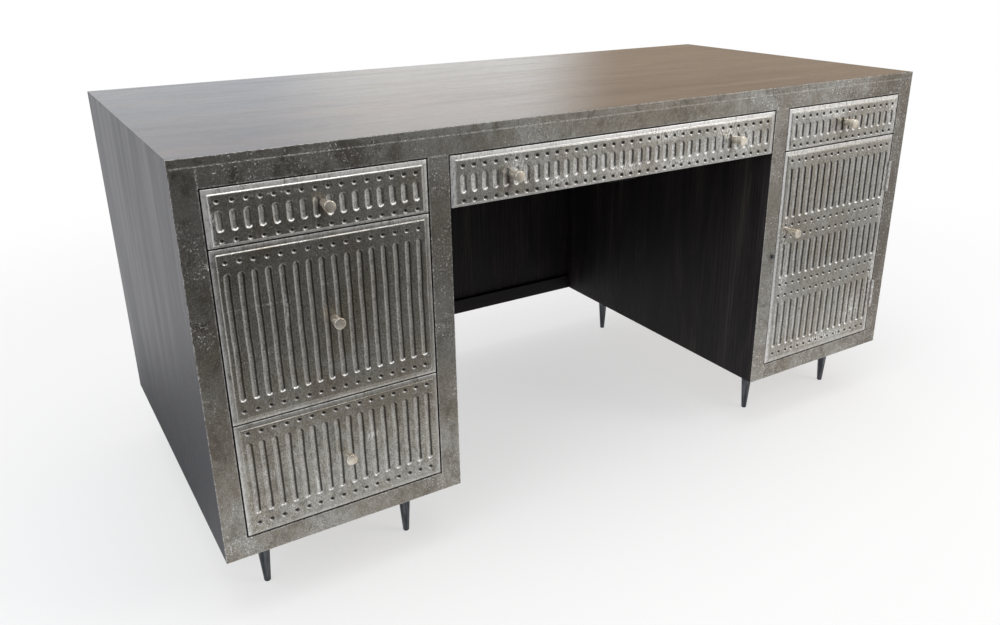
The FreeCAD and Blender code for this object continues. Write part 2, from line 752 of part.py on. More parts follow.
def build_hinges():
    """Two butt hinges: leaves in the gap beside the door, knuckles and pin in front of it."""
    far_room = "2 * knuckle"
    frame_corners = [("0", "0"), ("leaf_reach", "0"), ("leaf_reach", "hinge_height"), ("0", "hinge_height")]
    frame_corners += [("0", far_room), ("barrel_clear", far_room)]
    frame_corners += [("barrel_clear", "knuckle"), ("0", "knuckle")]
    frame_knuckles = [("0", "knuckle"), (far_room, "knuckle")]
    build_leaves("hinge_frame_leaves", "front_gap / 2 - leaf_thick", frame_corners, frame_knuckles)

    own_low = "knuckle + knuckle_gap"
    own_high = "2 * knuckle - knuckle_gap"
    door_corners = [("barrel_clear", "0"), ("leaf_reach", "0"), ("leaf_reach", "hinge_height")]
    door_corners += [("barrel_clear", "hinge_height"), ("barrel_clear", own_high), ("0", own_high)]
    door_corners += [("0", own_low), ("barrel_clear", own_low)]
    door_knuckles = [(own_low, "knuckle - 2 * knuckle_gap")]
    build_leaves("hinge_door_leaves", "-front_gap / 2", door_corners, door_knuckles)

    pins = new_body("hinge_pins", "barrel_x", "barrel_y", "leg_length + hinge_low")
    sketch = new_sketch(pins, "XY")
    circle(sketch, "0", "0", "pin_diameter / 2")
    pin = pad(pins, sketch, "hinge_height")
    row(pins, [pin], "Z", "2", "hinge_high - hinge_low")
    node(pins, "hinge_pins")


def build_leaves(name, plate_x, corners, knuckles):
    """Leaf of both hinges: a thin plate with its knuckles, bored for the pin."""
    leaves = new_body(name, "barrel_x", "barrel_y", "leg_length + hinge_low")
    sketch = new_sketch(leaves, "YZ", plate_x)
    outline(sketch, corners)
    parts = [pad(leaves, sketch, "leaf_thick")]
    for start, length in knuckles:
        sketch = new_sketch(leaves, "XY", start)
        circle(sketch, "0", "0", "barrel_diameter / 2")
        parts.append(pad(leaves, sketch, length))
    sketch = new_sketch(leaves, "XY", "hinge_height")
    circle(sketch, "0", "0", "pin_diameter / 2 + pin_clearance")
    parts.append(pocket(leaves, sketch, "hinge_height"))
    row(leaves, parts, "Z", "2", "hinge_high - hinge_low")
    node(leaves, name)


def build_catch():
    """Catch behind the inner stile, the screw that holds it, and the strike plate on the door."""
    catch_low = ("bay_x", "catch_y", "catch_z - catch_tall / 2")
    catch_high = ("bay_x + catch_width", "catch_y + catch_depth", "catch_z + catch_tall / 2")
    catch = board("door_catch", catch_low, catch_high)
    sketch = new_sketch(catch, "XZ")
    circle(sketch, "screw_x - bay_x", "catch_tall / 2", "screw_hole")
    pocket(catch, sketch, "screw_bite")
    node(catch, "door_catch")

    door_edge = "opening_inner_x + front_gap + board_inset"
    plate_low = (door_edge, "box_y", "catch_z - plate_tall / 2")
    plate_high = (door_edge + " + plate_width", "box_y + plate_thick", "catch_z + plate_tall / 2")
    node(board("catch_plate", plate_low, plate_high), "catch_plate")

    screw = new_body("stile_screw", "screw_x", "front_y", "catch_z")
    sketch = new_sketch(screw, "XY")
    head = "screw_head_diameter / 2"
    shank = "screw_diameter / 2"
    corners = [("0", "-screw_head_height"), (head, "-screw_head_height"), (head, "0"), (shank, "0")]
    outline(sketch, corners + [(shank, "screw_reach"), ("0", "screw_reach")])
    revolve(screw, sketch)
    sketch = new_sketch(screw, "XZ", "screw_head_height")
    half_slot = "screw_slot_width / 2"
    rectangle(sketch, "-" + head, "-" + half_slot, head, half_slot)
    pocket(screw, sketch, "screw_slot_depth")
    node(screw, "stile_screw")


def check_document():
    """Stop if any object failed, or any piece has no valid shape."""
    doc.recompute()
    failed = [item.Label for item in doc.Objects if "Invalid" in item.State or "Error" in item.State]
    failed += [piece.Label for piece in nodes if piece.Shape.isNull() or not piece.Shape.isValid()]
    if failed:
        raise RuntimeError("failed: " + ", ".join(failed))


def write_parts():
    os.makedirs("parts", exist_ok=True)
    for piece in nodes:
        piece.Shape.exportStep(os.path.join("parts", piece.Label + ".step"))


fill_sheet()
build_top_and_ends()
build_pedestals()
build_modesty()
build_frame_wood()
build_frame_metal()
build_legs()
build_drawers()
build_finger_lip()
build_door()
build_hinges()
build_catch()
check_document()
write_parts()
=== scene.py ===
"""Looks of the executive desk: embossed metal fronts, metal-clad frame, dark lacquered wood, iron legs.

Metres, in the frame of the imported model: X to the right, Y to the back, Z up from the floor.
"""

import math
import random

import bmesh
import bpy
from mathutils import Matrix, Vector, noise


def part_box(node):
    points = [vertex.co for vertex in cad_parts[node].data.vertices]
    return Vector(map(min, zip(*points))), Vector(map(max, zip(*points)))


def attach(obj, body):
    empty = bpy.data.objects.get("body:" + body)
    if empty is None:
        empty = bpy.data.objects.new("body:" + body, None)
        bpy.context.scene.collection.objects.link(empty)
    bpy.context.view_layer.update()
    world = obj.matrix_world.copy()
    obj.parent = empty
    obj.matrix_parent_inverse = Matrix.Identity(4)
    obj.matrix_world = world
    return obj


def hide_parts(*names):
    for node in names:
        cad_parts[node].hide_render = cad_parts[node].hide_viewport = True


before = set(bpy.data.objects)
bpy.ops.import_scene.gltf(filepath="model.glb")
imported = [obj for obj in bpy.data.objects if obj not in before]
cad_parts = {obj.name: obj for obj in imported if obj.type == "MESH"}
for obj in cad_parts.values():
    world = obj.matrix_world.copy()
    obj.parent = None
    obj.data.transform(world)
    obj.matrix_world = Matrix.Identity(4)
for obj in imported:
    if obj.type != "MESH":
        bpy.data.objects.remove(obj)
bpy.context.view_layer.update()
MM = 0.001

# Bodies that carry an embossed front
SHALLOW_FRONTS = ["left_top_drawer", "pencil_drawer", "right_drawer"]
DRAWERS = ["left_top_drawer", "left_file_drawer", "left_low_drawer", "pencil_drawer", "right_drawer"]
FRONTS = DRAWERS + ["door"]

# Camera fitted to the photograph, in its frame of 1000 by 625 pixels
IMAGE_WIDTH = 1000
IMAGE_HEIGHT = 625
FOCAL_PIXELS = 881.3
PRINCIPAL_POINT = (524.4, 287.3)
SENSOR_WIDTH = 36.0
CAMERA_PLACE = (-0.978, -1.551, 1.016)
CAMERA_RIGHT = Vector((0.846627, -0.532155, -0.005835))
CAMERA_DOWN = Vector((-0.195966, -0.301538, -0.933098))
CAMERA_FORWARD = Vector((0.494793, 0.791129, -0.359575))

# Folded sheet of a front, with a raised field inside its border
FIELD_RISE = 2 * MM
FIELD_BORDER = 7 * MM
SHALLOW_LOW_BORDER = 2.5 * MM
FIELD_BEVEL = 2 * MM
SKIN_RETURN = 14 * MM
SKIN_WALL = 1 * MM
# Slight unevenness: a column's wobble in two waves, in radians per metre, and a wave of the sheet
COLUMN_WOBBLE = 0.32 * MM
LONG_WOBBLE = 41
SHORT_WOBBLE = 97
SHORT_WOBBLE_SHARE = 0.6
SHEET_WAVE = 0.22 * MM
SHEET_WAVE_SCALE = 16

# Stamped slots and dots
PEDESTAL_COLUMNS = 16
PENCIL_COLUMNS = 35
COLUMN_PITCH = 19.85 * MM
SLOT_RADIUS = 4.7 * MM
SLOT_DEPTH = 2.4 * MM
SLOT_WALL = 1.7 * MM
SLOT_LEAN = 0.32
DOT_RADIUS = 3.6 * MM
DOT_DEPTH = 2.0 * MM
DOT_WALL = 2.2 * MM
RIM_ROUND = 0.5 * MM
# Rows of dots, from the front's lower and upper edges, and the gaps from a dot to its slot
SHALLOW_ROW_LOW = 9 * MM
SHALLOW_ROW_TOP = 18 * MM
SHALLOW_SLOT_GAP = 13 * MM
ROW_INSET = 20 * MM
LOW_DRAWER_ROW_TOP = 15 * MM
SLOT_GAP = 16.5 * MM
DOOR_MIDDLE_TIER = 108 * MM
DOOR_TIER_GAP = 25 * MM
DOOR_SLOT_GAP = 15.5 * MM

# Grid of a front: fold over the edge as inset and depth, then lines beside each form that it carries
EDGE_INSETS = [(0, SKIN_RETURN), (0, 2.6 * MM), (0, 0.9 * MM), (0.25 * MM, 0.25 * MM), (0.9 * MM, 0)]
BEVEL_LINES = [x * MM for x in (-0.6, 0, 0.6, 1.4, 2.0, 2.6, 3.6)]
ACROSS_LINES = [x * MM for x in (0, 1.2, 2.2, 2.9, 3.5, 4.1, 4.7, 5.3, 6.3)]
DOT_LINES = [x * MM for x in (0, 1.2, 2.2, 2.9, 3.5, 4.1, 5.0)]
SLOT_END_LINES = [x * MM for x in (-1.7, -0.7, 0, 0.5, 1.1, 1.9, 2.9, 4.1, 5.6)]
# Steps along a slot, lines across a thin scuff in its reaches, and the least distance of two lines
SLOT_STEP = 11 * MM
SCUFF_LINES = (-2, -1, 0, 1, 2)
LEAST_STEP = 0.15 * MM

# Patina and painted shade in the slots: how a place turns dark to the right and up, as if lit from the upper
# right, where dark and pale set in, how softly
SHADE_ACROSS = 0.85
SHADE_UP = 0.55
DARK_START = 0.05
DARK_SOFTNESS = 0.35
PALE_START = 0.45
PALE_SOFTNESS = 0.8
# How far wear pushes the painted shade back, and how far inside a rim the dark is full
DARK_SHIFT = 0.48
RIM_DARK = 1.0 * MM

# Painted highlight on the rims of slots and dots, at the lower ends and left slope of each slot and in a
# crescent at the lower left of each dot, broken up by wear: reach inside and outside, and the part of the
# rim that takes it
RIM_HIGHLIGHT = 1.9 * MM
RIM_OUTSIDE = 0.7 * MM
LOW_END_SOFTNESS = 0.7
LOW_END_WIDENING = 0.6
LEFT_HIGHLIGHT_START = 0.45
LEFT_HIGHLIGHT_SOFTNESS = 0.4
DOT_HIGHLIGHT = 0.9 * MM
CRESCENT_LEFT = 0.45
CRESCENT_LOW = 0.85

# Rub on the rest of a front, as shares of full wear; the lower and right edges and borders keep smaller
# shares, so the upper and left ones carry a painted highlight
EDGE_RUB = 0.8 * MM
LOWER_EDGE_RUB_AND_HIGHLIGHT_SHARE = 0.45
BORDER_RUB_SHARE = 0.85
LOWER_BORDER_WEAR_AND_HIGHLIGHT_SHARE = 0.4
BEVEL_RUB_SHARE = 0.5
FIELD_WASH = 0.18
FLOOR_HIGHLIGHT_AT_NO_WEAR = 0.35
FOLD_REACH = 2 * MM
RETURN_RUB_SHARE = 0.05

# Painted shadow below and left of each knob
KNOB_SHADOW_LEFT = -6 * MM
KNOB_SHADOW_DOWN = -11 * MM
KNOB_SHADOW_WIDTH = 8 * MM
KNOB_SHADOW_HEIGHT = 16 * MM

# How far a front's border and its slots are rubbed pale, each from 0 to 1; the slots' share also widens
# their painted highlight and pushes back their painted shade
WEAR = {
    "left_top_drawer": (0.90, 0.75),
    "left_file_drawer": (0.25, 0.25),
    "left_low_drawer": (0.12, 0.20),
    "pencil_drawer": (1.0, 1.0),
    "right_drawer": (0.9, 0.9),
    "door": (0.6, 0.75),
}
# Worn places of a front: shares of its width and height, then reach across and up
SCUFFS = {
    "left_top_drawer": [(0.30, 0.80, 40 * MM, 1.5 * MM), (0.03, 0.4, 4 * MM, 30 * MM)],
    "pencil_drawer": [
        (0.82, 0.62, 30 * MM, 24 * MM), (0.90, 0.45, 18 * MM, 20 * MM), (0.66, 0.16, 50 * MM, 10 * MM),
        (0.17, 0.60, 16 * MM, 18 * MM), (0.28, 0.20, 30 * MM, 9 * MM), (0.48, 0.22, 36 * MM, 9 * MM),
        (0.62, 0.80, 40 * MM, 7 * MM),
    ],
    "right_drawer": [(0.95, 0.6, 14 * MM, 24 * MM), (0.40, 0.75, 30 * MM, 7 * MM)],
    "left_file_drawer": [
        (0.24, 0.66, 22 * MM, 0.9 * MM), (0.50, 0.71, 16 * MM, 0.9 * MM), (0.30, 0.60, 3 * MM, 16 * MM),
        (0.06, 0.66, 12 * MM, 0.9 * MM),
    ],
    "left_low_drawer": [(0.64, 0.60, 9 * MM, 8 * MM), (0.35, 0.30, 3 * MM, 16 * MM)],
    "door": [
        (0.97, 0.74, 9 * MM, 70 * MM), (0.97, 0.30, 9 * MM, 80 * MM), (0.06, 0.62, 12 * MM, 40 * MM),
        (0.08, 0.42, 10 * MM, 50 * MM), (0.5, 0.05, 90 * MM, 8 * MM), (0.80, 0.16, 22 * MM, 30 * MM),
    ],
}

# Turned knobs and legs; the shares are the radius of the narrow end over that of the wide end
TURNED_SIDES = 48
ROUND_STEPS = 5
KNOB_BASE_SHARE = 12 / 18.5
KNOB_FOOT = 0.4 * MM
KNOB_RIM = 1.1 * MM
KNOB_DOME = 0.5 * MM
KNOB_DOME_SHARES = (0.7, 0.4, 0.12)
LEG_FOOT_SHARE = 11.5 / 28
LEG_FOOT_ROUND = 2.2 * MM
LEG_CORNER = 60 * MM

# Softened edges of the CAD nodes
EDGE_WIDTHS = {"frame": 0.3 * MM, "steel": 0.15 * MM, "leg": 0.3 * MM}
WOOD_EDGE_WIDTH = 0.8 * MM
WELD_DISTANCE = 0.01 * MM
EDGE_ANGLE = math.radians(35)
EDGE_SEGMENTS = 2

# Noise patterns of the metals: lumps per metre along X, Y and Z, detail, roughness and distortion
SHEET_GRIT = ((560, 560, 430), 2.0, 0.8)
FRAME_CLOUDS = ((7, 7, 7), 5.0, 0.6, 0.4)
FRAME_SMEAR = ((22, 22, 16), 6.0, 0.7, 0.6)
FRAME_MOTTLE = ((150, 150, 110), 6.0, 0.75)
FRAME_FLECKS = ((330, 330, 330), 4.0, 0.7)
FRAME_WORN_PLACES = ((14, 14, 14), 5.0, 0.7)
FRAME_CHIPS = ((110, 110, 80), 5.0, 0.8)
FRAME_SCRATCHES = ((30, 30, 700), 2.0, 0.5)
SKIN_CLOUDS = ((8, 8, 8), 5.0, 0.6, 0.5)
SKIN_MOTTLE = ((100, 100, 60), 6.0, 0.75)
SKIN_FLECKS = ((380, 380, 300), 3.0, 0.7)
SKIN_WEAR = ((130, 130, 50), 5.0, 0.75)
SKIN_WORN_PLACES = ((10, 10, 10), 4.0, 0.65)
SKIN_SPECKS = ((300, 300, 120), 4.0, 0.8)
NICKEL_STAIN = ((70, 70, 70), 2.0, 0.5)
NICKEL_BRUSHED = ((300, 1600, 1600), 2.0, 0.6)
IRON_STREAK = ((160, 160, 18), 4.0, 0.6)
IRON_GRIT = ((500, 500, 500), 3.0, 0.6)
STEEL_STAIN = ((140, 140, 140), 4.0, 0.65)
STEEL_GRIT = ((900, 900, 900), 2.0, 0.6)
# Grain patterns of the wood: lumps per metre along and across the grain, detail, roughness and distortion
WOOD_FIGURE = (1.7, 20, 6.0, 0.6, 0.5)
WOOD_FIBRE = (5, 260, 6.0, 0.65)
WOOD_PORES = (14, 620, 2.0, 0.5)
WOOD_CLOUDS = (1.8, 9, 6.0, 0.7, 0.6)

# Spans of the marks on wood: where on its noise a mark sets in and is full, then its share at both
WOOD_MIDDLE_SPAN = (0.39, 0.50)
WOOD_PALE_SPAN = (0.50, 0.61)
WOOD_STAIN_SPAN = (0.44, 0.62, 0.0, 0.6)
WOOD_PORE_SPAN = (0.60, 0.72)
WOOD_ROUGH_SPAN = (0.40, 0.60)
PORE_SHARE = 0.55
PORE_HEIGHT = -0.5
FIBRE_HEIGHT = 0.35
WOOD_BUMP = 0.6
# Spans of the marks on both sheets, then on the frame's sheet, then on the fronts' sheet
GREY_SPAN = (0.36, 0.64)
FRAME_SMEAR_SPAN = (0.46, 0.66, 0.0, 0.75)
FRAME_MOTTLE_SPAN = (0.40, 0.70, 0.0, 0.45)
FRAME_DARK_GRIT_SPAN = (0.50, 0.66, 0.0, 0.6)
FRAME_PALE_GRIT_SPAN = (0.44, 0.30, 0.0, 0.28)
FRAME_FLECK_SPAN = (0.57, 0.65)
FRAME_WORN_SPAN = (0.46, 0.60)
FRAME_CHIP_SPAN = (0.60, 0.65)
FRAME_CHIPPED_SPAN = (0.50, 0.62)
FRAME_SCRATCH_SPAN = (0.68, 0.74)
FRAME_EDGE_SPAN = (0.44, 0.56)
FRAME_EDGE_REACH = 3 * MM
SCRATCH_SHARE = 0.5
# More flecks and more smear towards the desk's right end: from X to X, from share to share
FRAME_MORE_FLECKS = (0.0, 0.7, 0.0, 0.10)
FRAME_MORE_SMEAR = (0.5, 0.75, 0.0, 0.14)
SKIN_MOTTLE_SPAN = (0.44, 0.70, 0.0, 0.75)
SKIN_DARK_GRIT_SPAN = (0.50, 0.66, 0.0, 0.75)
SKIN_PALE_GRIT_SPAN = (0.44, 0.30, 0.0, 0.45)
SKIN_FLOOR_PATCH_SPAN = (0.28, 0.52, 0.35, 1.0)
SKIN_FLOOR_SPECK_SPAN = (0.36, 0.58, 0.3, 1.0)
SKIN_FLECK_SPAN = (0.58, 0.66)
SKIN_WORN_SPAN = (0.44, 0.60)
SKIN_SCUFF_SPAN = (0.46, 0.56)
SKIN_KNOB_SHADOW_SPAN = (0.30, 0.60, 0.65, 1.0)
SKIN_RIM_HIGHLIGHT_SPAN = (0.28, 0.50)
SKIN_RIM_SPECK_SPAN = (0.34, 0.50, 0.35, 1.0)
SKIN_FLECK_SHARE = 0.8
HOLLOW_SHARE = 0.88
WORN_AND_LIT_SHARE = 0.8
# Metal under patina and where it is rubbed bare, which on the fronts also takes in the painted highlights;
# roughness of the sheets and of the plain metals
FRAME_METALLIC = (0.95, 0.05)
SKIN_METALLIC = (0.95, 0.55)
ROUGH_SPAN = (0.3, 0.7)
FRAME_ROUGHNESS = (0.28, 0.44)
SKIN_ROUGHNESS = (0.26, 0.40)
SHEET_RELIEF = 0.5 * MM
FINE_HEIGHT = 0.3
FRAME_MOTTLE_HEIGHT = 0.6
SKIN_WEAR_HEIGHT = 0.5
FRAME_BUMP = 0.7
SKIN_BUMP = 0.6
PLAIN_METAL_BUMP = 0.5
# Cosine between a rounded and a flat normal, at an edge and away from it
EDGE_COSINES = (0.80, 0.985)
EDGE_SAMPLES = 4

# Colours of the antiqued sheets
SHEET_BROWN = (0.290, 0.262, 0.222, 1)
SHEET_GREY = (0.402, 0.400, 0.376, 1)
SKIN_BROWN = (0.294, 0.264, 0.212, 1)
SKIN_GREY = (0.400, 0.396, 0.366, 1)
SHEET_STAIN = (0.145, 0.124, 0.100, 1)
# Patina and painted shade in the stamped hollows
SHEET_HOLLOW = (0.022, 0.019, 0.016, 1)
# Pale metal of grit and wear, and on the fronts also the painted highlight of slot floors and borders
SHEET_PALE = (0.88, 0.87, 0.85, 1)
SHEET_RUBBED = (0.80, 0.79, 0.77, 1)
# Bright metal of flecks and scuffs, and the painted highlight on the rims of slots and dots
SHEET_BRIGHT = (0.93, 0.92, 0.90, 1)
# Rust-brown colour of the painted knob shadow
SHEET_KNOB_SHADOW = (0.080, 0.056, 0.040, 1)
# Two colours of each plain metal
NICKEL_COLOURS = [(0.86, 0.80, 0.70, 1), (0.66, 0.58, 0.47, 1)]
IRON_COLOURS = [(0.040, 0.043, 0.052, 1), (0.150, 0.156, 0.175, 1)]
STEEL_COLOURS = [(0.88, 0.87, 0.85, 1), (0.50, 0.47, 0.43, 1)]
# Dark, middle and pale colour of each wood, then roughness, relief and shine of the lacquer
# The top, the ends and the kneehole are one dark wood: the top's colours are lighter as painted light, the
# ends' bluish tint is a painted reflection of the backdrop, and the kneehole's near-black colours are
# painted shade
TOP_WOOD_WITH_PAINTED_LIGHT = [(0.036, 0.023, 0.016, 1), (0.085, 0.062, 0.045, 1), (0.150, 0.114, 0.086, 1)]
END_WOOD_WITH_PAINTED_SHEEN = [(0.032, 0.031, 0.037, 1), (0.046, 0.045, 0.053, 1), (0.063, 0.062, 0.071, 1)]
KNEE_WOOD_PAINTED_SHADE = [(0.008, 0.007, 0.008, 1), (0.025, 0.021, 0.023, 1), (0.064, 0.052, 0.050, 1)]
INNER_WOOD = [(0.20, 0.130, 0.075, 1), (0.33, 0.225, 0.135, 1), (0.43, 0.31, 0.20, 1)]
TOP_ROUGHNESS = 0.13
END_ROUGHNESS = 0.40
KNEE_ROUGHNESS = 0.56
INNER_ROUGHNESS = 0.55
SMOOTHER_GRAIN = 0.03
ROUGHER_GRAIN = 0.09
TOP_RELIEF = 0.45 * MM
WOOD_RELIEF = 0.25 * MM
WOOD_SHINE = 0.5
KNEE_SHINE = 0.2

# Floor: bright near the desk and to its right, dim at its left; places in metres, shares at both ends
FLOOR_SIZE = 60
FLOOR_CELLS = 8
FLOOR_PALE = (0.84, 0.84, 0.84, 1)
FLOOR_SHADE = (0.05, 0.05, 0.05, 1)
FLOOR_ROUGHNESS = 0.9
FLOOR_FADE = (1.0, 2.6, 0.6, 1.0)
FLOOR_NEAR = (-1.25, -0.5)
FLOOR_RIGHT = (-0.6, 0.5)
FLOOR_RIGHT_SLOPE = 0.5
FLOOR_RIGHT_FADE = (-2.6, -1.0, 1.0, 0.15)
DIM_CORNER = (-0.86, 0.30, 0.0)
DIM_CORNER_FADE = (0.15, 0.95, 0.15, 1.0)
# Colours of the studio
WHITE = (1, 1, 1, 1)
ROOM_COLOUR = (0.07, 0.068, 0.065, 1)
BACKDROP_COLOUR = (0.83, 0.88, 0.95, 1)
# Parts of the studio: azimuth of the middle in degrees from the back to the right, rise, the cosines where
# a part sets in and is full, and its colour; the backdrop ends a quarter turn from its middle
BACKDROP_EDGE = 36.1
BACKDROP_SIDE = (BACKDROP_EDGE - 90, 0, -0.04, 0.08)
BRIGHT_PATCH = (30, 0.13, 0.965, 0.995, (1.18, 1.18, 1.16, 1))
WARM_WALL = (70, 0, 0.1, 0.8, (0.52, 0.42, 0.325, 1))
LIT_WALL = (139, 0, 0.93, 0.99, (0.95, 0.95, 0.91, 1))
CEILING = (0, 40, 0.70, 0.92, (0.9, 0.9, 0.9, 1))
# Lamps: place, point aimed at, size and power
LAMPS = {
    "overhead_lamp": ((-0.2, -0.3, 2.8), (0, 0, 0.7), 2.0, 34),
    "right_lamp": ((2.2, -2.4, 2.2), (0.3, -0.3, 0.4), 1.2, 34),
    "left_lamp": ((-2.4, -1.2, 1.8), (-0.4, -0.2, 0.4), 1.2, 10),
}


def smooth(value):
    """Soft step from 0 to 1."""
    value = min(1.0, max(0.0, value))
    return value * value * (3 - 2 * value)


def bell(value, reach):
    """1 at zero, falling softly to nothing a few reaches away."""
    return math.exp(-(value / reach) ** 2)


def new_piece(name, mesh, body, node, material):
    """Link a finished mesh as a piece that stands for a CAD node and moves with its body."""
    piece = bpy.data.objects.new(name, mesh)
    bpy.context.scene.collection.objects.link(piece)
    mesh.materials.append(material)
    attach(piece, body)
    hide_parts(node)


class Nodes:
    """Short calls to add nodes and links to a node tree."""

    def __init__(self, tree):
        self.tree = tree

    def add(self, kind, sockets=None, **settings):
        made = self.tree.nodes.new("ShaderNode" + kind)
        for key, value in settings.items():
            setattr(made, key, value)
        for key, value in (sockets or {}).items():
            self.put(made.inputs[key], value)
        return made

    def put(self, socket, value):
        if isinstance(value, bpy.types.NodeSocket):
            self.tree.links.new(value, socket)
        else:
            socket.default_value = value

    def spread(self, value, low, high, start=0.0, end=1.0):
        """Map a value from low..high to start..end, held at both ends."""
        sockets = {"Value": value, "From Min": low, "From Max": high, "To Min": start, "To Max": end}
        return self.add("MapRange", sockets, interpolation_type="SMOOTHSTEP").outputs["Result"]

    def times(self, first, second):
        return self.add("Math", {0: first, 1: second}, operation="MULTIPLY").outputs["Value"]

    def plus(self, first, second):
        return self.add("Math", {0: first, 1: second}, operation="ADD", use_clamp=True).outputs["Value"]

    def blend(self, share, first, second):
        """Colour that goes from first to second as share goes from 0 to 1."""
        mix = self.add("Mix", data_type="RGBA")
        self.put(mix.inputs[0], share)
        self.put(mix.inputs[6], first)
        self.put(mix.inputs[7], second)
        return mix.outputs[2]

    def mix(self, share, first, second):
        """Surface that goes from first to second as share goes from 0 to 1."""
        return self.add("MixShader", {0: share, 1: first, 2: second}).outputs["Shader"]


class Shader(Nodes):
    """One node material."""

    def __init__(self, name):
        self.material = bpy.data.materials.new(name)
        self.material.use_nodes = True
        super().__init__(self.material.node_tree)
        self.principled = self.tree.nodes["Principled BSDF"]

    def surface(self, **sockets):
        for key, value in sockets.items():
            self.put(self.principled.inputs[key.replace("_", " ")], value)

    def place(self, scale):
        """Coordinates of the desk's frame, scaled apart along the three axes."""
        coordinates = self.add("TexCoord").outputs["Object"]
        return self.add("Mapping", {"Vector": coordinates, "Scale": scale}).outputs["Vector"]

    def noise(self, scale, detail, rough, distortion=0.0):
        sockets = {"Vector": self.place(scale), "Scale": 1.0, "Detail": detail}
        sockets.update({"Roughness": rough, "Distortion": distortion})
        return self.add("TexNoise", sockets).outputs["Fac"]

    def grain(self, axis, along, across, *quality):
        """Noise that is stretched along one axis."""
        return self.noise(tuple(along if letter == axis else across for letter in "XYZ"), *quality)

    def mask(self, name):
        return self.add("Attribute", attribute_name=name).outputs["Fac"]

    def near_edge(self, reach):
        """1 beside the edges of a form, 0 away from them."""
        rounded_normal = self.add("Bevel", {"Radius": reach}, samples=EDGE_SAMPLES).outputs["Normal"]
        flat_normal = self.add("NewGeometry").outputs["Normal"]
        along = self.add("VectorMath", {0: rounded_normal, 1: flat_normal}, operation="DOT_PRODUCT")
        return self.spread(along.outputs["Value"], *EDGE_COSINES, 1.0, 0.0)

    def bump(self, height, distance, strength):
        sockets = {"Height": height, "Distance": distance, "Strength": strength}
        return self.add("Bump", sockets).outputs["Normal"]


def lacquered_wood(name, axis, colours, roughness, relief=WOOD_RELIEF, shine=WOOD_SHINE):
    """Stained wood with long grain, open pores and a satin lacquer."""
    dark, middle, pale = colours
    shader = Shader(name)
    figure = shader.grain(axis, *WOOD_FIGURE)
    fibre = shader.grain(axis, *WOOD_FIBRE)
    pores = shader.grain(axis, *WOOD_PORES)
    clouds = shader.grain(axis, *WOOD_CLOUDS)
    tone = shader.plus(shader.times(figure, 0.5), shader.times(fibre, 0.5))
    colour = shader.blend(shader.spread(tone, *WOOD_MIDDLE_SPAN), dark, middle)
    colour = shader.blend(shader.spread(tone, *WOOD_PALE_SPAN), colour, pale)
    colour = shader.blend(shader.spread(clouds, *WOOD_STAIN_SPAN), colour, dark)
    open_pores = shader.spread(pores, *WOOD_PORE_SPAN)
    colour = shader.blend(shader.times(open_pores, PORE_SHARE), colour, dark)
    height = shader.plus(shader.times(fibre, FIBRE_HEIGHT), shader.times(open_pores, PORE_HEIGHT))
    gloss = (roughness - SMOOTHER_GRAIN, roughness + ROUGHER_GRAIN)
    shader.surface(
        Base_Color=colour,
        Roughness=shader.spread(tone, *WOOD_ROUGH_SPAN, *gloss),
        Normal=shader.bump(height, relief, WOOD_BUMP),
        Specular_IOR_Level=shine,
    )
    return shader.material


def antique_sheet(name):
    """Grey-brown antiqued sheet of the frame: clouded patina, pale flecks and chips, fine scratches."""
    shader = Shader(name)
    grit = shader.noise(*SHEET_GRIT)
    mottle = shader.noise(*FRAME_MOTTLE)
    fine = shader.noise(*FRAME_FLECKS)
    rightward = shader.add("SeparateXYZ", {"Vector": shader.place((1, 1, 1))}).outputs["X"]
    smear = shader.plus(shader.noise(*FRAME_SMEAR), shader.spread(rightward, *FRAME_MORE_SMEAR))
    where = shader.plus(shader.noise(*FRAME_WORN_PLACES), shader.spread(rightward, *FRAME_MORE_FLECKS))

    colour = shader.blend(shader.spread(shader.noise(*FRAME_CLOUDS), *GREY_SPAN), SHEET_BROWN, SHEET_GREY)
    colour = shader.blend(shader.spread(smear, *FRAME_SMEAR_SPAN), colour, SHEET_STAIN)
    colour = shader.blend(shader.spread(mottle, *FRAME_MOTTLE_SPAN), colour, SHEET_STAIN)
    colour = shader.blend(shader.spread(grit, *FRAME_DARK_GRIT_SPAN), colour, SHEET_STAIN)
    colour = shader.blend(shader.spread(grit, *FRAME_PALE_GRIT_SPAN), colour, SHEET_PALE)

    worn = shader.spread(where, *FRAME_WORN_SPAN)
    flecks = shader.times(shader.spread(fine, *FRAME_FLECK_SPAN), worn)
    scratches = shader.times(shader.spread(shader.noise(*FRAME_SCRATCHES), *FRAME_SCRATCH_SPAN), worn)
    chips = shader.spread(shader.noise(*FRAME_CHIPS), *FRAME_CHIP_SPAN)
    chips = shader.times(chips, shader.spread(where, *FRAME_CHIPPED_SPAN))
    rubbed = shader.plus(shader.plus(flecks, chips), shader.times(scratches, SCRATCH_SHARE))
    edges = shader.times(shader.near_edge(FRAME_EDGE_REACH), shader.spread(fine, *FRAME_EDGE_SPAN))
    bare = shader.plus(rubbed, edges)
    height = shader.plus(shader.times(mottle, FRAME_MOTTLE_HEIGHT), shader.times(fine, FINE_HEIGHT))
    shader.surface(
        Base_Color=shader.blend(bare, colour, SHEET_RUBBED),
        Metallic=shader.spread(bare, 0.0, 1.0, *FRAME_METALLIC),
        Roughness=shader.spread(mottle, *ROUGH_SPAN, *FRAME_ROUGHNESS),
        Normal=shader.bump(height, SHEET_RELIEF, FRAME_BUMP),
    )
    return shader.material


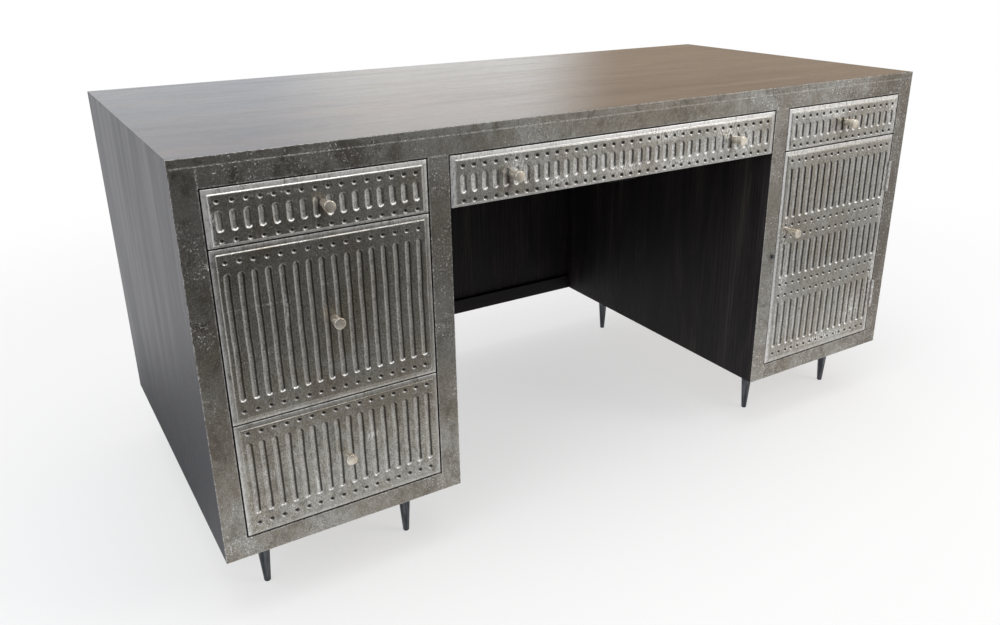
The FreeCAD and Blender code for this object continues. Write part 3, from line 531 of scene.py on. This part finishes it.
def embossed_sheet(name):
    """Antiqued sheet of the fronts: dark in the stamped hollows with patina and painted shade, pale on
    floors, ends and edges with wear and painted highlight.
    """
    shader = Shader(name)
    grit = shader.noise(*SHEET_GRIT)
    mottle = shader.noise(*SKIN_MOTTLE)
    fine = shader.noise(*SKIN_FLECKS)
    wear = shader.noise(*SKIN_WEAR)
    specks = shader.noise(*SKIN_SPECKS)

    colour = shader.blend(shader.spread(shader.noise(*SKIN_CLOUDS), *GREY_SPAN), SKIN_BROWN, SKIN_GREY)
    colour = shader.blend(shader.spread(mottle, *SKIN_MOTTLE_SPAN), colour, SHEET_STAIN)
    patchy = shader.spread(wear, *SKIN_FLOOR_PATCH_SPAN)
    patchy = shader.times(patchy, shader.spread(specks, *SKIN_FLOOR_SPECK_SPAN))
    # Pale slot floors and borders: wear together with a painted highlight
    worn = shader.times(shader.mask("floor"), patchy)
    colour = shader.blend(worn, colour, SHEET_PALE)
    colour = shader.blend(shader.spread(grit, *SKIN_DARK_GRIT_SPAN), colour, SHEET_STAIN)
    colour = shader.blend(shader.spread(grit, *SKIN_PALE_GRIT_SPAN), colour, SHEET_PALE)

    where = shader.spread(shader.noise(*SKIN_WORN_PLACES), *SKIN_WORN_SPAN)
    flecks = shader.times(shader.spread(fine, *SKIN_FLECK_SPAN), where)
    scuffs = shader.times(shader.mask("scuff"), shader.spread(specks, *SKIN_SCUFF_SPAN))
    colour = shader.blend(shader.plus(shader.times(flecks, SKIN_FLECK_SHARE), scuffs), colour, SHEET_BRIGHT)
    # Painted shadow below and left of each knob, broken up by the wear noise
    knob_shadow_share = shader.times(shader.mask("stain_and_shadow"), shader.spread(wear, *SKIN_KNOB_SHADOW_SPAN))
    colour = shader.blend(knob_shadow_share, colour, SHEET_KNOB_SHADOW)
    # Patina and painted shade darken the right and upper part of each slot and the inside of each dot
    colour = shader.blend(shader.times(shader.mask("wall"), HOLLOW_SHARE), colour, SHEET_HOLLOW)
    # Painted highlight on the lower ends and left slopes of the slots and the crescents of the dots, broken
    # up by wear
    broken_rim_highlight = shader.spread(wear, *SKIN_RIM_HIGHLIGHT_SPAN)
    broken_rim_highlight = shader.times(broken_rim_highlight, shader.spread(specks, *SKIN_RIM_SPECK_SPAN))
    rims = shader.times(shader.mask("rim"), broken_rim_highlight)
    bare = shader.plus(rims, shader.plus(shader.times(worn, WORN_AND_LIT_SHARE), scuffs))
    height = shader.plus(shader.times(wear, SKIN_WEAR_HEIGHT), shader.times(fine, FINE_HEIGHT))
    shader.surface(
        Base_Color=shader.blend(rims, colour, SHEET_BRIGHT),
        Metallic=shader.spread(bare, 0.0, 1.0, *SKIN_METALLIC),
        Roughness=shader.spread(mottle, *ROUGH_SPAN, *SKIN_ROUGHNESS),
        Normal=shader.bump(height, SHEET_RELIEF, SKIN_BUMP),
    )
    return shader.material


def plain_metal(name, stain_and_shadow, stain_span, colours, metallic, grit, roughness, relief):
    """Metal with a slow blotching between two colours and a fine grit that sets its gloss and relief."""
    shader = Shader(name)
    fine = shader.noise(*grit)
    shader.surface(
        Base_Color=shader.blend(shader.spread(shader.noise(*stain_and_shadow), *stain_span), *colours),
        Metallic=metallic,
        Roughness=shader.spread(fine, *ROUGH_SPAN, *roughness),
        Normal=shader.bump(fine, relief, PLAIN_METAL_BUMP),
    )
    return shader.material


def satin_nickel(name):
    """Warm brushed metal of the knobs."""
    return plain_metal(
        name, stain_and_shadow=NICKEL_STAIN, stain_span=(0.40, 0.66), colours=NICKEL_COLOURS, metallic=0.75,
        grit=NICKEL_BRUSHED, roughness=(0.24, 0.32), relief=0.003 * MM,
    )


def blued_iron(name):
    """Blue-black streaked iron of the legs."""
    return plain_metal(
        name, stain_and_shadow=IRON_STREAK, stain_span=(0.40, 0.70), colours=IRON_COLOURS, metallic=0.6,
        grit=IRON_GRIT, roughness=(0.30, 0.46), relief=0.12 * MM,
    )


def dull_steel(name):
    """Pale worn steel of the hinges and the catch."""
    return plain_metal(
        name, stain_and_shadow=STEEL_STAIN, stain_span=(0.38, 0.66), colours=STEEL_COLOURS, metallic=0.4,
        grit=STEEL_GRIT, roughness=(0.34, 0.48), relief=0.08 * MM,
    )


MATERIALS = {
    "top_wood": lacquered_wood("dark_wood_along_x", "X", TOP_WOOD_WITH_PAINTED_LIGHT, TOP_ROUGHNESS, relief=TOP_RELIEF),
    "end_wood": lacquered_wood("dark_wood_upright", "Z", END_WOOD_WITH_PAINTED_SHEEN, END_ROUGHNESS),
    "knee_wood": lacquered_wood("dark_wood_in_painted_shade_upright", "Z", KNEE_WOOD_PAINTED_SHADE, KNEE_ROUGHNESS, shine=KNEE_SHINE),
    "rail_wood": lacquered_wood("dark_wood_in_painted_shade_along_x", "X", KNEE_WOOD_PAINTED_SHADE, KNEE_ROUGHNESS, shine=KNEE_SHINE),
    "inner_x": lacquered_wood("inner_wood_along_x", "X", INNER_WOOD, INNER_ROUGHNESS),
    "inner_y": lacquered_wood("inner_wood_along_y", "Y", INNER_WOOD, INNER_ROUGHNESS),
    "inner_z": lacquered_wood("inner_wood_upright", "Z", INNER_WOOD, INNER_ROUGHNESS),
    "frame": antique_sheet("antique_sheet"),
    "skin": embossed_sheet("embossed_sheet"),
    "knob": satin_nickel("satin_nickel"),
    "leg": blued_iron("blued_iron"),
    "steel": dull_steel("dull_steel"),
}

# CAD nodes that stay in view, by material
FINISHES = {
    "top_wood": ["top_panel"],
    "end_wood": ["left_end_panel", "right_end_panel"],
    "knee_wood": [
        "left_inner_panel", "right_inner_panel", "modesty_panel", "left_back_panel", "right_back_panel",
    ],
    "rail_wood": ["modesty_rail", "pencil_drawer_lip", "dust_board"],
    "inner_x": ["face_rails", "left_floor_panel", "right_floor_panel", "door_board"],
    "inner_y": ["drawer_runners"],
    "inner_z": ["stile_battens"],
    "frame": ["stile_sheets", "rail_sheets", "top_edge_strip"],
    "steel": ["hinge_frame_leaves", "hinge_door_leaves", "hinge_pins", "door_catch", "catch_plate"],
    "leg": ["stile_screw"],
}


def dress_node(name, finish):
    """Give a CAD node its material and small rounded edges."""
    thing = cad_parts[name]
    thing.data.materials.clear()
    thing.data.materials.append(MATERIALS[finish])
    weld = thing.modifiers.new("weld", "WELD")
    weld.merge_threshold = WELD_DISTANCE
    edge = thing.modifiers.new("edge", "BEVEL")
    edge.width = EDGE_WIDTHS.get(finish, WOOD_EDGE_WIDTH)
    edge.segments = EDGE_SEGMENTS
    edge.limit_method = "ANGLE"
    edge.angle_limit = EDGE_ANGLE
    thing.modifiers.new("normals", "WEIGHTED_NORMAL")


def dress_nodes():
    """Dress every CAD node that no piece of this script replaces."""
    for finish, names in FINISHES.items():
        for name in names:
            dress_node(name, finish)
    for drawer in DRAWERS:
        dress_node(drawer + "_board", "inner_x")
        dress_node(drawer + "_sides", "inner_y")
        dress_node(drawer + "_back", "inner_x")
        dress_node(drawer + "_bottom", "inner_y")


class Stamp:
    """The stamped pattern at one point of a front: its depth and the marks that patina and wear leave there,
    with painted shade and painted highlight.

    Across and up are counted from the middle of a form, in its radius.
    """

    def __init__(self, x, z, middle, slots, dots, wear):
        self.wear = wear
        # Far outside every form
        self.inside = -1.0
        self.depth = 0.0
        self.wall = 0.0
        self.floor = 0.0
        self.rim = 0.0
        self.low_end = 0.0
        self.left_side = 0.0
        for low, high in slots:
            nearest = min(max(z, low + SLOT_RADIUS), high - SLOT_RADIUS)
            lower_half = nearest < (low + high) / 2
            self.take_slot((x - middle) / SLOT_RADIUS, (z - nearest) / SLOT_RADIUS, lower_half)
        for height in dots:
            self.take_dot((x - middle) / DOT_RADIUS, (z - height) / DOT_RADIUS)

    def take_slot(self, across, up, lower_half):
        """A slot is deepest along its right side, where patina and painted shade darken it; its floor leans
        up to the left.
        """
        inside = SLOT_RADIUS * (1 - math.hypot(across, up))
        if inside < self.inside:
            return
        share = smooth((inside + RIM_ROUND) / (SLOT_WALL + RIM_ROUND))
        lean = min(1.0, max(0.0, (1 - across) / 2))
        shaded = SHADE_ACROSS * across + SHADE_UP * up
        # Painted shade, over patina, on the right and upper part of the slot
        dark = smooth((shaded - DARK_START - DARK_SHIFT * self.wear) / DARK_SOFTNESS)
        self.inside = inside
        self.depth = SLOT_DEPTH * share * (1 - SLOT_LEAN * lean)
        self.wall = dark * smooth((inside + RIM_ROUND) / RIM_DARK)
        # Painted highlight, with wear, on the pale left and lower part of the floor
        self.floor = share * smooth((PALE_START + DARK_SHIFT * self.wear - shaded) / PALE_SOFTNESS)
        # Painted highlight on the lower end and the left slope of the rim
        self.low_end = smooth(-up / LOW_END_SOFTNESS) if lower_half else 0.0
        self.left_side = smooth((-across - LEFT_HIGHLIGHT_START) / LEFT_HIGHLIGHT_SOFTNESS)
        reach = RIM_HIGHLIGHT * (1 + LOW_END_WIDENING * self.low_end) if inside > 0 else RIM_OUTSIDE
        self.rim = bell(inside, reach)

    def take_dot(self, across, up):
        """A dot is dark inside with patina and painted shade, with a painted highlight as a bright crescent
        at its lower left.
        """
        inside = DOT_RADIUS * (1 - math.hypot(across, up))
        if inside < self.inside:
            return
        self.inside = inside
        self.depth = DOT_DEPTH * smooth((inside + RIM_ROUND) / (DOT_WALL + RIM_ROUND))
        self.wall = smooth((inside + RIM_ROUND) / RIM_DARK)
        self.floor = 0.0
        self.low_end = smooth((-CRESCENT_LEFT * across - CRESCENT_LOW * up) / LOW_END_SOFTNESS)
        self.left_side = 0.0
        self.rim = bell(inside, DOT_HIGHLIGHT)


class Front:
    """Measures, pattern and wear of one embossed front, with its painted shade and painted highlights.

    Each tier holds the heights of its lower and upper dots above the front's lower edge, and the gap
    from dot to slot.
    """

    def __init__(self, body, tiers, low_border, columns, seed):
        self.body = body
        self.low, self.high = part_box(body + "_skin")
        self.face_y = self.low.y + FIELD_RISE
        self.low_border = low_border
        middle_x = (self.low.x + self.high.x) / 2
        self.slots = [(self.low.z + first + gap, self.low.z + last - gap) for first, last, gap in tiers]
        self.dots = [self.low.z + height for first, last, _ in tiers for height in (first, last)]
        self.centres = [middle_x + (column - (columns - 1) / 2) * COLUMN_PITCH for column in range(columns)]
        self.seed = seed
        draw = random.Random(seed)
        self.phases = [(draw.uniform(0, math.tau), draw.uniform(0, math.tau)) for _ in self.centres]
        self.knobs = knob_places(body)
        self.wear, self.slot_wear = WEAR[body]
        self.slot_share = FLOOR_HIGHLIGHT_AT_NO_WEAR + (1 - FLOOR_HIGHLIGHT_AT_NO_WEAR) * self.slot_wear

    def lines_across(self):
        """Grid lines from the left edge to the right edge, each with the depth of the fold there."""
        lines = edge_lines(self.low.x, self.high.x, FIELD_BORDER, FIELD_BORDER)
        for centre in self.centres:
            lines += [(centre + side * offset, 0) for offset in ACROSS_LINES for side in (-1, 1)]
        return fold_in_order(lines, self.low.x, self.high.x)

    def lines_upright(self):
        """Grid lines from the lower edge to the upper edge, each with the depth of the fold there."""
        lines = edge_lines(self.low.z, self.high.z, self.low_border, FIELD_BORDER)
        for height in self.dots:
            lines += [(height + side * offset, 0) for offset in DOT_LINES for side in (-1, 1)]
        for slot_low, slot_high in self.slots:
            lines += [(slot_low + offset, 0) for offset in SLOT_END_LINES]
            lines += [(slot_high - offset, 0) for offset in SLOT_END_LINES]
            straight = slot_high - slot_low - 2 * SLOT_RADIUS
            steps = max(2, round(straight / SLOT_STEP))
            lines += [(slot_low + SLOT_RADIUS + step * straight / steps, 0) for step in range(1, steps)]
        for _, share_z, _, reach_z in SCUFFS[self.body]:
            if reach_z < SLOT_STEP / 2:
                height = self.low.z + share_z * (self.high.z - self.low.z)
                lines += [(height + step * reach_z, 0) for step in SCUFF_LINES]
        return fold_in_order(lines, self.low.z, self.high.z)

    def nearest_column(self, x):
        """Number of the column whose middle is nearest."""
        return min(range(len(self.centres)), key=lambda index: abs(x - self.centres[index]))

    def wobble(self, z, column):
        """How far a column strays to the side at a height."""
        long_phase, short_phase = self.phases[column]
        short_wave = SHORT_WOBBLE_SHARE * math.sin(z * SHORT_WOBBLE + short_phase)
        return COLUMN_WOBBLE * (math.sin(z * LONG_WOBBLE + long_phase) + short_wave)

    def painted_knob_shadow(self, x, z):
        """Painted shadow that runs down from the left of each knob."""
        knob_shadows = []
        for knob in self.knobs:
            across = bell(x - knob.x - KNOB_SHADOW_LEFT, KNOB_SHADOW_WIDTH)
            knob_shadows.append(across * bell(z - knob.z - KNOB_SHADOW_DOWN, KNOB_SHADOW_HEIGHT))
        return self.wear * max(knob_shadows)

    def scuff(self, x, z):
        """How worn a place of the front is, from 0 to 1."""
        size = self.high - self.low
        worn = 0.0
        for share_x, share_z, reach_x, reach_z in SCUFFS[self.body]:
            across = bell(x - self.low.x - share_x * size.x, reach_x)
            worn = max(worn, across * bell(z - self.low.z - share_z * size.z, reach_z))
        return worn

    def sample(self, x, z, fold, column):
        """Place of a grid point on the pressed sheet, and the marks of patina, wear, painted shade and
        painted highlight there.
        """
        upper_edge = min(x - self.low.x, self.high.z - z)
        lower_edge = min(self.high.x - x, z - self.low.z)
        upper_inset = upper_edge - FIELD_BORDER
        lower_inset = min(self.high.x - x - FIELD_BORDER, z - self.low.z - self.low_border)
        inset = min(upper_inset, lower_inset)
        rise = smooth(inset / FIELD_BEVEL)
        stamp = Stamp(x, z, self.centres[column], self.slots, self.dots, self.slot_wear)
        wave = SHEET_WAVE * noise.noise(Vector((x, self.seed, z)) * SHEET_WAVE_SCALE) * rise
        y = self.face_y + fold - FIELD_RISE * rise + stamp.depth * rise + wave
        place = (x + self.wobble(z, column) * rise, y, z)

        # Rub on the border and edges, stronger on the upper and left sides as a painted highlight
        border_wear_and_highlight = self.wear * (1.0 if upper_inset <= lower_inset else LOWER_BORDER_WEAR_AND_HIGHLIGHT_SHARE) * (1 - rise)
        upper_edge_rub_and_highlight = bell(upper_edge - EDGE_RUB / 2, EDGE_RUB)
        lower_edge_rub_and_highlight = LOWER_EDGE_RUB_AND_HIGHLIGHT_SHARE * bell(lower_edge - EDGE_RUB / 2, EDGE_RUB)
        bevel_rub = self.wear * BEVEL_RUB_SHARE * bell(inset - FIELD_BEVEL, EDGE_RUB)
        stamp_highlight = stamp.rim * max(stamp.low_end, stamp.left_side * self.slot_share) * rise
        border_rub_and_highlight = BORDER_RUB_SHARE * border_wear_and_highlight
        rub_and_highlight = max(upper_edge_rub_and_highlight, lower_edge_rub_and_highlight, bevel_rub, stamp_highlight, border_rub_and_highlight)
        pale = max(stamp.floor * rise * self.slot_share, border_wear_and_highlight, self.wear * FIELD_WASH)
        on_face = fold < FOLD_REACH
        return place, {
            "rim": rub_and_highlight if on_face else RETURN_RUB_SHARE,
            "wall": stamp.wall * rise,
            "floor": pale if on_face else 0.0,
            "stain_and_shadow": self.painted_knob_shadow(x, z),
            "scuff": self.scuff(x, z),
        }


def edge_lines(low, high, border_low, border_high):
    """Grid lines of a front's two edges: the fold over the edge and the bevel up to the field."""
    lines = []
    for inset, depth in EDGE_INSETS:
        lines += [(low + inset, depth), (high - inset, depth)]
    for offset in BEVEL_LINES:
        lines += [(low + border_low + offset, 0), (high - border_high - offset, 0)]
    return lines


def fold_in_order(lines, low, high):
    """Sort grid lines from edge to edge; on an edge the deep end of the fold comes first or last."""
    middle = (low + high) / 2
    ordered = sorted(set(lines), key=lambda line: (line[0], -line[1] if line[0] < middle else line[1]))
    kept = [ordered[0]]
    for place, depth in ordered[1:]:
        close = place - kept[-1][0] < LEAST_STEP
        if close and depth == kept[-1][1]:
            continue
        kept.append((place, depth))
    return kept


def embossed_skin(front):
    """Folded tray with a raised field, stamped with columns of slots that have a dot at each end."""
    across = front.lines_across()
    upright = front.lines_upright()
    points = []
    marks = {"rim": [], "wall": [], "floor": [], "stain_and_shadow": [], "scuff": []}
    for x, depth_x in across:
        column = front.nearest_column(x)
        for z, depth_z in upright:
            place, found = front.sample(x, z, max(depth_x, depth_z), column)
            points.append(place)
            for name, value in found.items():
                marks[name].append(value)
    node = front.body + "_skin"
    mesh = grid_mesh(node, points, len(across), len(upright))
    for name, values in marks.items():
        layer = mesh.attributes.new(name, "FLOAT", "POINT")
        layer.data.foreach_set("value", values)
    close_tray(mesh, front.face_y)
    mesh.shade_smooth()
    new_piece(front.body + "_embossed_skin", mesh, front.body, node, MATERIALS["skin"])


def grid_mesh(name, points, columns, rows):
    """Mesh of four-sided faces over points that are listed column by column."""
    faces = []
    for column in range(columns - 1):
        for row in range(rows - 1):
            first = column * rows + row
            faces.append((first, first + rows, first + rows + 1, first + 1))
    mesh = bpy.data.meshes.new(name + "_mesh")
    mesh.from_pydata(points, [], faces)
    return mesh


def close_tray(mesh, face_y):
    """Turn the folded edge inwards and close the tray's back, so that the skin is a closed shell."""
    work = bmesh.new()
    work.from_mesh(mesh)
    turned = new_rim(work)
    low_x = min(vertex.co.x for vertex in turned) + SKIN_WALL
    high_x = max(vertex.co.x for vertex in turned) - SKIN_WALL
    low_z = min(vertex.co.z for vertex in turned) + SKIN_WALL
    high_z = max(vertex.co.z for vertex in turned) - SKIN_WALL
    for vertex in turned:
        vertex.co.x = min(max(vertex.co.x, low_x), high_x)
        vertex.co.y = face_y + SKIN_RETURN
        vertex.co.z = min(max(vertex.co.z, low_z), high_z)
    for vertex in new_rim(work):
        vertex.co.y = face_y + SKIN_WALL
    bmesh.ops.holes_fill(work, edges=[edge for edge in work.edges if edge.is_boundary], sides=0)
    bmesh.ops.recalc_face_normals(work, faces=work.faces)
    work.to_mesh(mesh)
    work.free()


def new_rim(work):
    """Extrude a mesh's open edge, and give the new vertices."""
    rim = [edge for edge in work.edges if edge.is_boundary]
    made = bmesh.ops.extrude_edge_only(work, edges=rim)["geom"]
    return [item for item in made if isinstance(item, bmesh.types.BMVert)]


def front_height(body):
    """Height of a front, from the CAD skin."""
    low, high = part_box(body + "_skin")
    return high.z - low.z


def door_tiers():
    """Three tiers of slots on the door; the outer two share what the middle one leaves."""
    height = front_height("door")
    outer = (height - 2 * ROW_INSET - 2 * DOOR_TIER_GAP - DOOR_MIDDLE_TIER) / 2
    middle_low = ROW_INSET + outer + DOOR_TIER_GAP
    return [
        (ROW_INSET, ROW_INSET + outer, DOOR_SLOT_GAP),
        (middle_low, middle_low + DOOR_MIDDLE_TIER, DOOR_SLOT_GAP),
        (height - ROW_INSET - outer, height - ROW_INSET, DOOR_SLOT_GAP),
    ]


def build_skins():
    """The six embossed fronts."""
    for seed, body in enumerate(SHALLOW_FRONTS, start=1):
        columns = PENCIL_COLUMNS if body == "pencil_drawer" else PEDESTAL_COLUMNS
        tiers = [(SHALLOW_ROW_LOW, front_height(body) - SHALLOW_ROW_TOP, SHALLOW_SLOT_GAP)]
        embossed_skin(Front(body, tiers, SHALLOW_LOW_BORDER, columns, seed))
    tall_fronts = {
        "left_file_drawer": [(ROW_INSET, front_height("left_file_drawer") - ROW_INSET, SLOT_GAP)],
        "left_low_drawer": [(ROW_INSET, front_height("left_low_drawer") - LOW_DRAWER_ROW_TOP, SLOT_GAP)],
        "door": door_tiers(),
    }
    for seed, (body, tiers) in enumerate(tall_fronts.items(), start=len(SHALLOW_FRONTS) + 1):
        embossed_skin(Front(body, tiers, FIELD_BORDER, PEDESTAL_COLUMNS, seed))


def turned_points(profile, place, axis):
    """Rings of a turned form; the profile is pairs of radius and distance along the axis."""
    side = axis.orthogonal().normalized()
    other = axis.cross(side)
    rings = []
    for radius, along in profile:
        ring = []
        for step in range(TURNED_SIDES):
            angle = math.tau * step / TURNED_SIDES
            ring.append(place + axis * along + (side * math.cos(angle) + other * math.sin(angle)) * radius)
        rings.append(ring)
    return rings


def turn(work, profile, place, axis):
    """Add a closed turned form to a mesh that is being made."""
    rings = [[work.verts.new(point) for point in ring] for ring in turned_points(profile, place, axis)]
    for ring, following in zip(rings, rings[1:]):
        for step in range(TURNED_SIDES):
            after = (step + 1) % TURNED_SIDES
            work.faces.new((ring[step], ring[after], following[after], following[step]))
    work.faces.new(list(reversed(rings[0])))
    work.faces.new(rings[-1])


def rounded(radius, along, size, way):
    """Quarter round at the end of a turned form, from its side to its end face."""
    points = []
    for step in range(ROUND_STEPS + 1):
        angle = math.pi / 2 * step / ROUND_STEPS
        inwards = size * (1 - math.cos(angle))
        back = size * (1 - math.sin(angle))
        points.append((radius - inwards, along - way * back))
    return points


def turned_piece(name, body, node, material, profile, places, axis):
    """Piece of equal turned forms, one at each place."""
    work = bmesh.new()
    for place in places:
        turn(work, profile, place, axis)
    bmesh.ops.recalc_face_normals(work, faces=work.faces)
    mesh = bpy.data.meshes.new(name + "_mesh")
    work.to_mesh(mesh)
    work.free()
    mesh.shade_smooth()
    mesh.set_sharp_from_angle(angle=EDGE_ANGLE)
    new_piece(name, mesh, body, node, MATERIALS[material])


def knob_places(body):
    """Middle of the foot of each knob on a front."""
    low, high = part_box(body + "_knob")
    radius = (high.z - low.z) / 2
    places = [Vector((low.x + radius, high.y, (low.z + high.z) / 2))]
    # A node wider than two knobs holds a pair
    if high.x - low.x > 4 * radius:
        places.append(Vector((high.x - radius, high.y, (low.z + high.z) / 2)))
    return places


def build_knobs():
    """Flared knobs with a rounded rim and a faintly domed end."""
    forwards = Vector((0, -1, 0))
    for body in FRONTS:
        node = body + "_knob"
        low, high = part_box(node)
        radius = (high.z - low.z) / 2
        length = high.y - low.y
        base = radius * KNOB_BASE_SHARE
        rim = rounded(radius, length - KNOB_DOME, KNOB_RIM, 1)
        end = radius - KNOB_RIM
        dome = [(end * share, length - KNOB_DOME * share ** 2) for share in KNOB_DOME_SHARES]
        profile = [(base, 0), (base, KNOB_FOOT)] + rim + dome
        name = body + "_turned_knob"
        turned_piece(name, body, node, "knob", profile, knob_places(body), forwards)


def leg_radius(node, high):
    """Radius of a leg's top, from the spread of the topmost points at the node's back right corner."""
    top = [vertex.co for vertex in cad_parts[node].data.vertices if vertex.co.z > high.z - MM]
    corner = [point for point in top if point.x > high.x - LEG_CORNER and point.y > high.y - LEG_CORNER]
    return (max(point.x for point in corner) - min(point.x for point in corner)) / 2


def build_legs():
    """Tapered round legs with a rounded foot."""
    upwards = Vector((0, 0, 1))
    for side in ("left", "right"):
        node = side + "_legs"
        low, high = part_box(node)
        radius = leg_radius(node, high)
        sole = list(reversed(rounded(radius * LEG_FOOT_SHARE, 0, LEG_FOOT_ROUND, -1)))
        profile = sole + [(radius, high.z - low.z)]
        columns = (low.x + radius, high.x - radius)
        rows = (low.y + radius, high.y - radius)
        places = [Vector((x, y, low.z)) for x in columns for y in rows]
        name = side + "_turned_legs"
        turned_piece(name, "carcass", node, "leg", profile, places, upwards)


def lit_floor(shader, coordinates):
    """Share of the floor that is lit as brightly as the backdrop."""
    axes = shader.add("SeparateXYZ", {"Vector": coordinates})
    x = axes.outputs["X"]
    y = axes.outputs["Y"]
    near = shader.spread(y, *FLOOR_NEAR)
    slope = shader.add("Math", {0: y, 1: FLOOR_RIGHT_SLOPE, 2: x}, operation="MULTIPLY_ADD")
    right = shader.spread(slope.outputs["Value"], *FLOOR_RIGHT)
    right = shader.times(right, shader.spread(y, *FLOOR_RIGHT_FADE))
    lit = shader.add("Math", {0: near, 1: right}, operation="MAXIMUM").outputs["Value"]
    away = shader.add("VectorMath", {0: coordinates, 1: DIM_CORNER}, operation="DISTANCE").outputs["Value"]
    return shader.times(lit, shader.spread(away, *DIM_CORNER_FADE))


def floor_material():
    """Pale floor that keeps the shadow near the desk and fades to white."""
    shader = Shader("floor")
    coordinates = shader.add("TexCoord").outputs["Object"]
    reach = shader.add("VectorMath", {0: coordinates}, operation="LENGTH").outputs["Value"]
    fade = shader.spread(reach, *FLOOR_FADE)
    lit = lit_floor(shader, coordinates)
    shader.surface(Base_Color=shader.blend(lit, FLOOR_SHADE, FLOOR_PALE), Roughness=FLOOR_ROUGHNESS)
    path = shader.add("LightPath")
    mirrored = shader.plus(path.outputs["Is Glossy Ray"], path.outputs["Is Transmission Ray"])
    mirror_share = shader.times(shader.times(mirrored, fade), lit)
    white = shader.add("Emission", {"Color": WHITE, "Strength": 1.0}).outputs["Emission"]
    plain = shader.add("BsdfDiffuse", {"Color": FLOOR_PALE}).outputs["BSDF"]
    seen = shader.mix(fade, plain, white)
    room = shader.mix(mirror_share, shader.principled.outputs["BSDF"], white)
    whole = shader.mix(path.outputs["Is Camera Ray"], room, seen)
    shader.put(shader.tree.nodes["Material Output"].inputs["Surface"], whole)
    return shader.material


def build_floor():
    """Wide floor under the desk."""
    work = bmesh.new()
    bmesh.ops.create_grid(work, x_segments=FLOOR_CELLS, y_segments=FLOOR_CELLS, size=FLOOR_SIZE / 2)
    mesh = bpy.data.meshes.new("floor_mesh")
    work.to_mesh(mesh)
    work.free()
    floor = bpy.data.objects.new("floor", mesh)
    bpy.context.scene.collection.objects.link(floor)
    mesh.materials.append(floor_material())


def build_world():
    """Studio round the desk: bright backdrop at the back and left, walls at the right, dim room in front."""
    world = bpy.data.worlds.new("studio")
    bpy.context.scene.world = world
    world.use_nodes = True
    nodes = Nodes(world.node_tree)
    direction = nodes.add("TexCoord").outputs["Generated"]

    def lay(under, azimuth, rise, low, high, over):
        """Lay a part of the studio over what is there."""
        turned = math.radians(azimuth)
        way = Vector((math.sin(turned), math.cos(turned), rise)).normalized()
        toward = nodes.add("VectorMath", {0: direction, 1: way}, operation="DOT_PRODUCT").outputs["Value"]
        return nodes.blend(nodes.spread(toward, low, high), under, over)

    room = lay(ROOM_COLOUR, *WARM_WALL)
    room = lay(room, *BACKDROP_SIDE, lay(BACKDROP_COLOUR, *BRIGHT_PATCH))
    room = lay(room, *LIT_WALL)
    room = lay(room, *CEILING)
    room = nodes.blend(nodes.add("LightPath").outputs["Is Camera Ray"], room, WHITE)
    background = world.node_tree.nodes["Background"]
    nodes.put(background.inputs["Color"], room)
    nodes.put(background.inputs["Strength"], 1.0)


def build_lamps():
    """Square lamps, each aimed at a point on the desk."""
    for name, (place, aim, size, power) in LAMPS.items():
        lamp = bpy.data.lights.new(name, "AREA")
        lamp.size = size
        lamp.energy = power
        thing = bpy.data.objects.new(name, lamp)
        bpy.context.scene.collection.objects.link(thing)
        thing.location = place
        thing.rotation_euler = (Vector(aim) - Vector(place)).to_track_quat("-Z", "Y").to_euler()


def build_camera():
    """Camera with the lens, shift and place fitted to the photograph."""
    data = bpy.data.cameras.new("camera")
    data.sensor_width = SENSOR_WIDTH
    data.lens = FOCAL_PIXELS * SENSOR_WIDTH / IMAGE_WIDTH
    data.shift_x = (IMAGE_WIDTH / 2 - PRINCIPAL_POINT[0]) / IMAGE_WIDTH
    data.shift_y = (PRINCIPAL_POINT[1] - IMAGE_HEIGHT / 2) / IMAGE_WIDTH
    camera = bpy.data.objects.new("camera", data)
    bpy.context.scene.collection.objects.link(camera)
    axes = Matrix((CAMERA_RIGHT, -CAMERA_DOWN, -CAMERA_FORWARD)).transposed()
    camera.matrix_world = Matrix.Translation(CAMERA_PLACE) @ axes.to_4x4()
    bpy.context.scene.camera = camera


dress_nodes()
build_skins()
build_knobs()
build_legs()
build_floor()
build_world()
build_lamps()
build_camera()
bpy.context.scene.view_settings.view_transform = "Standard"
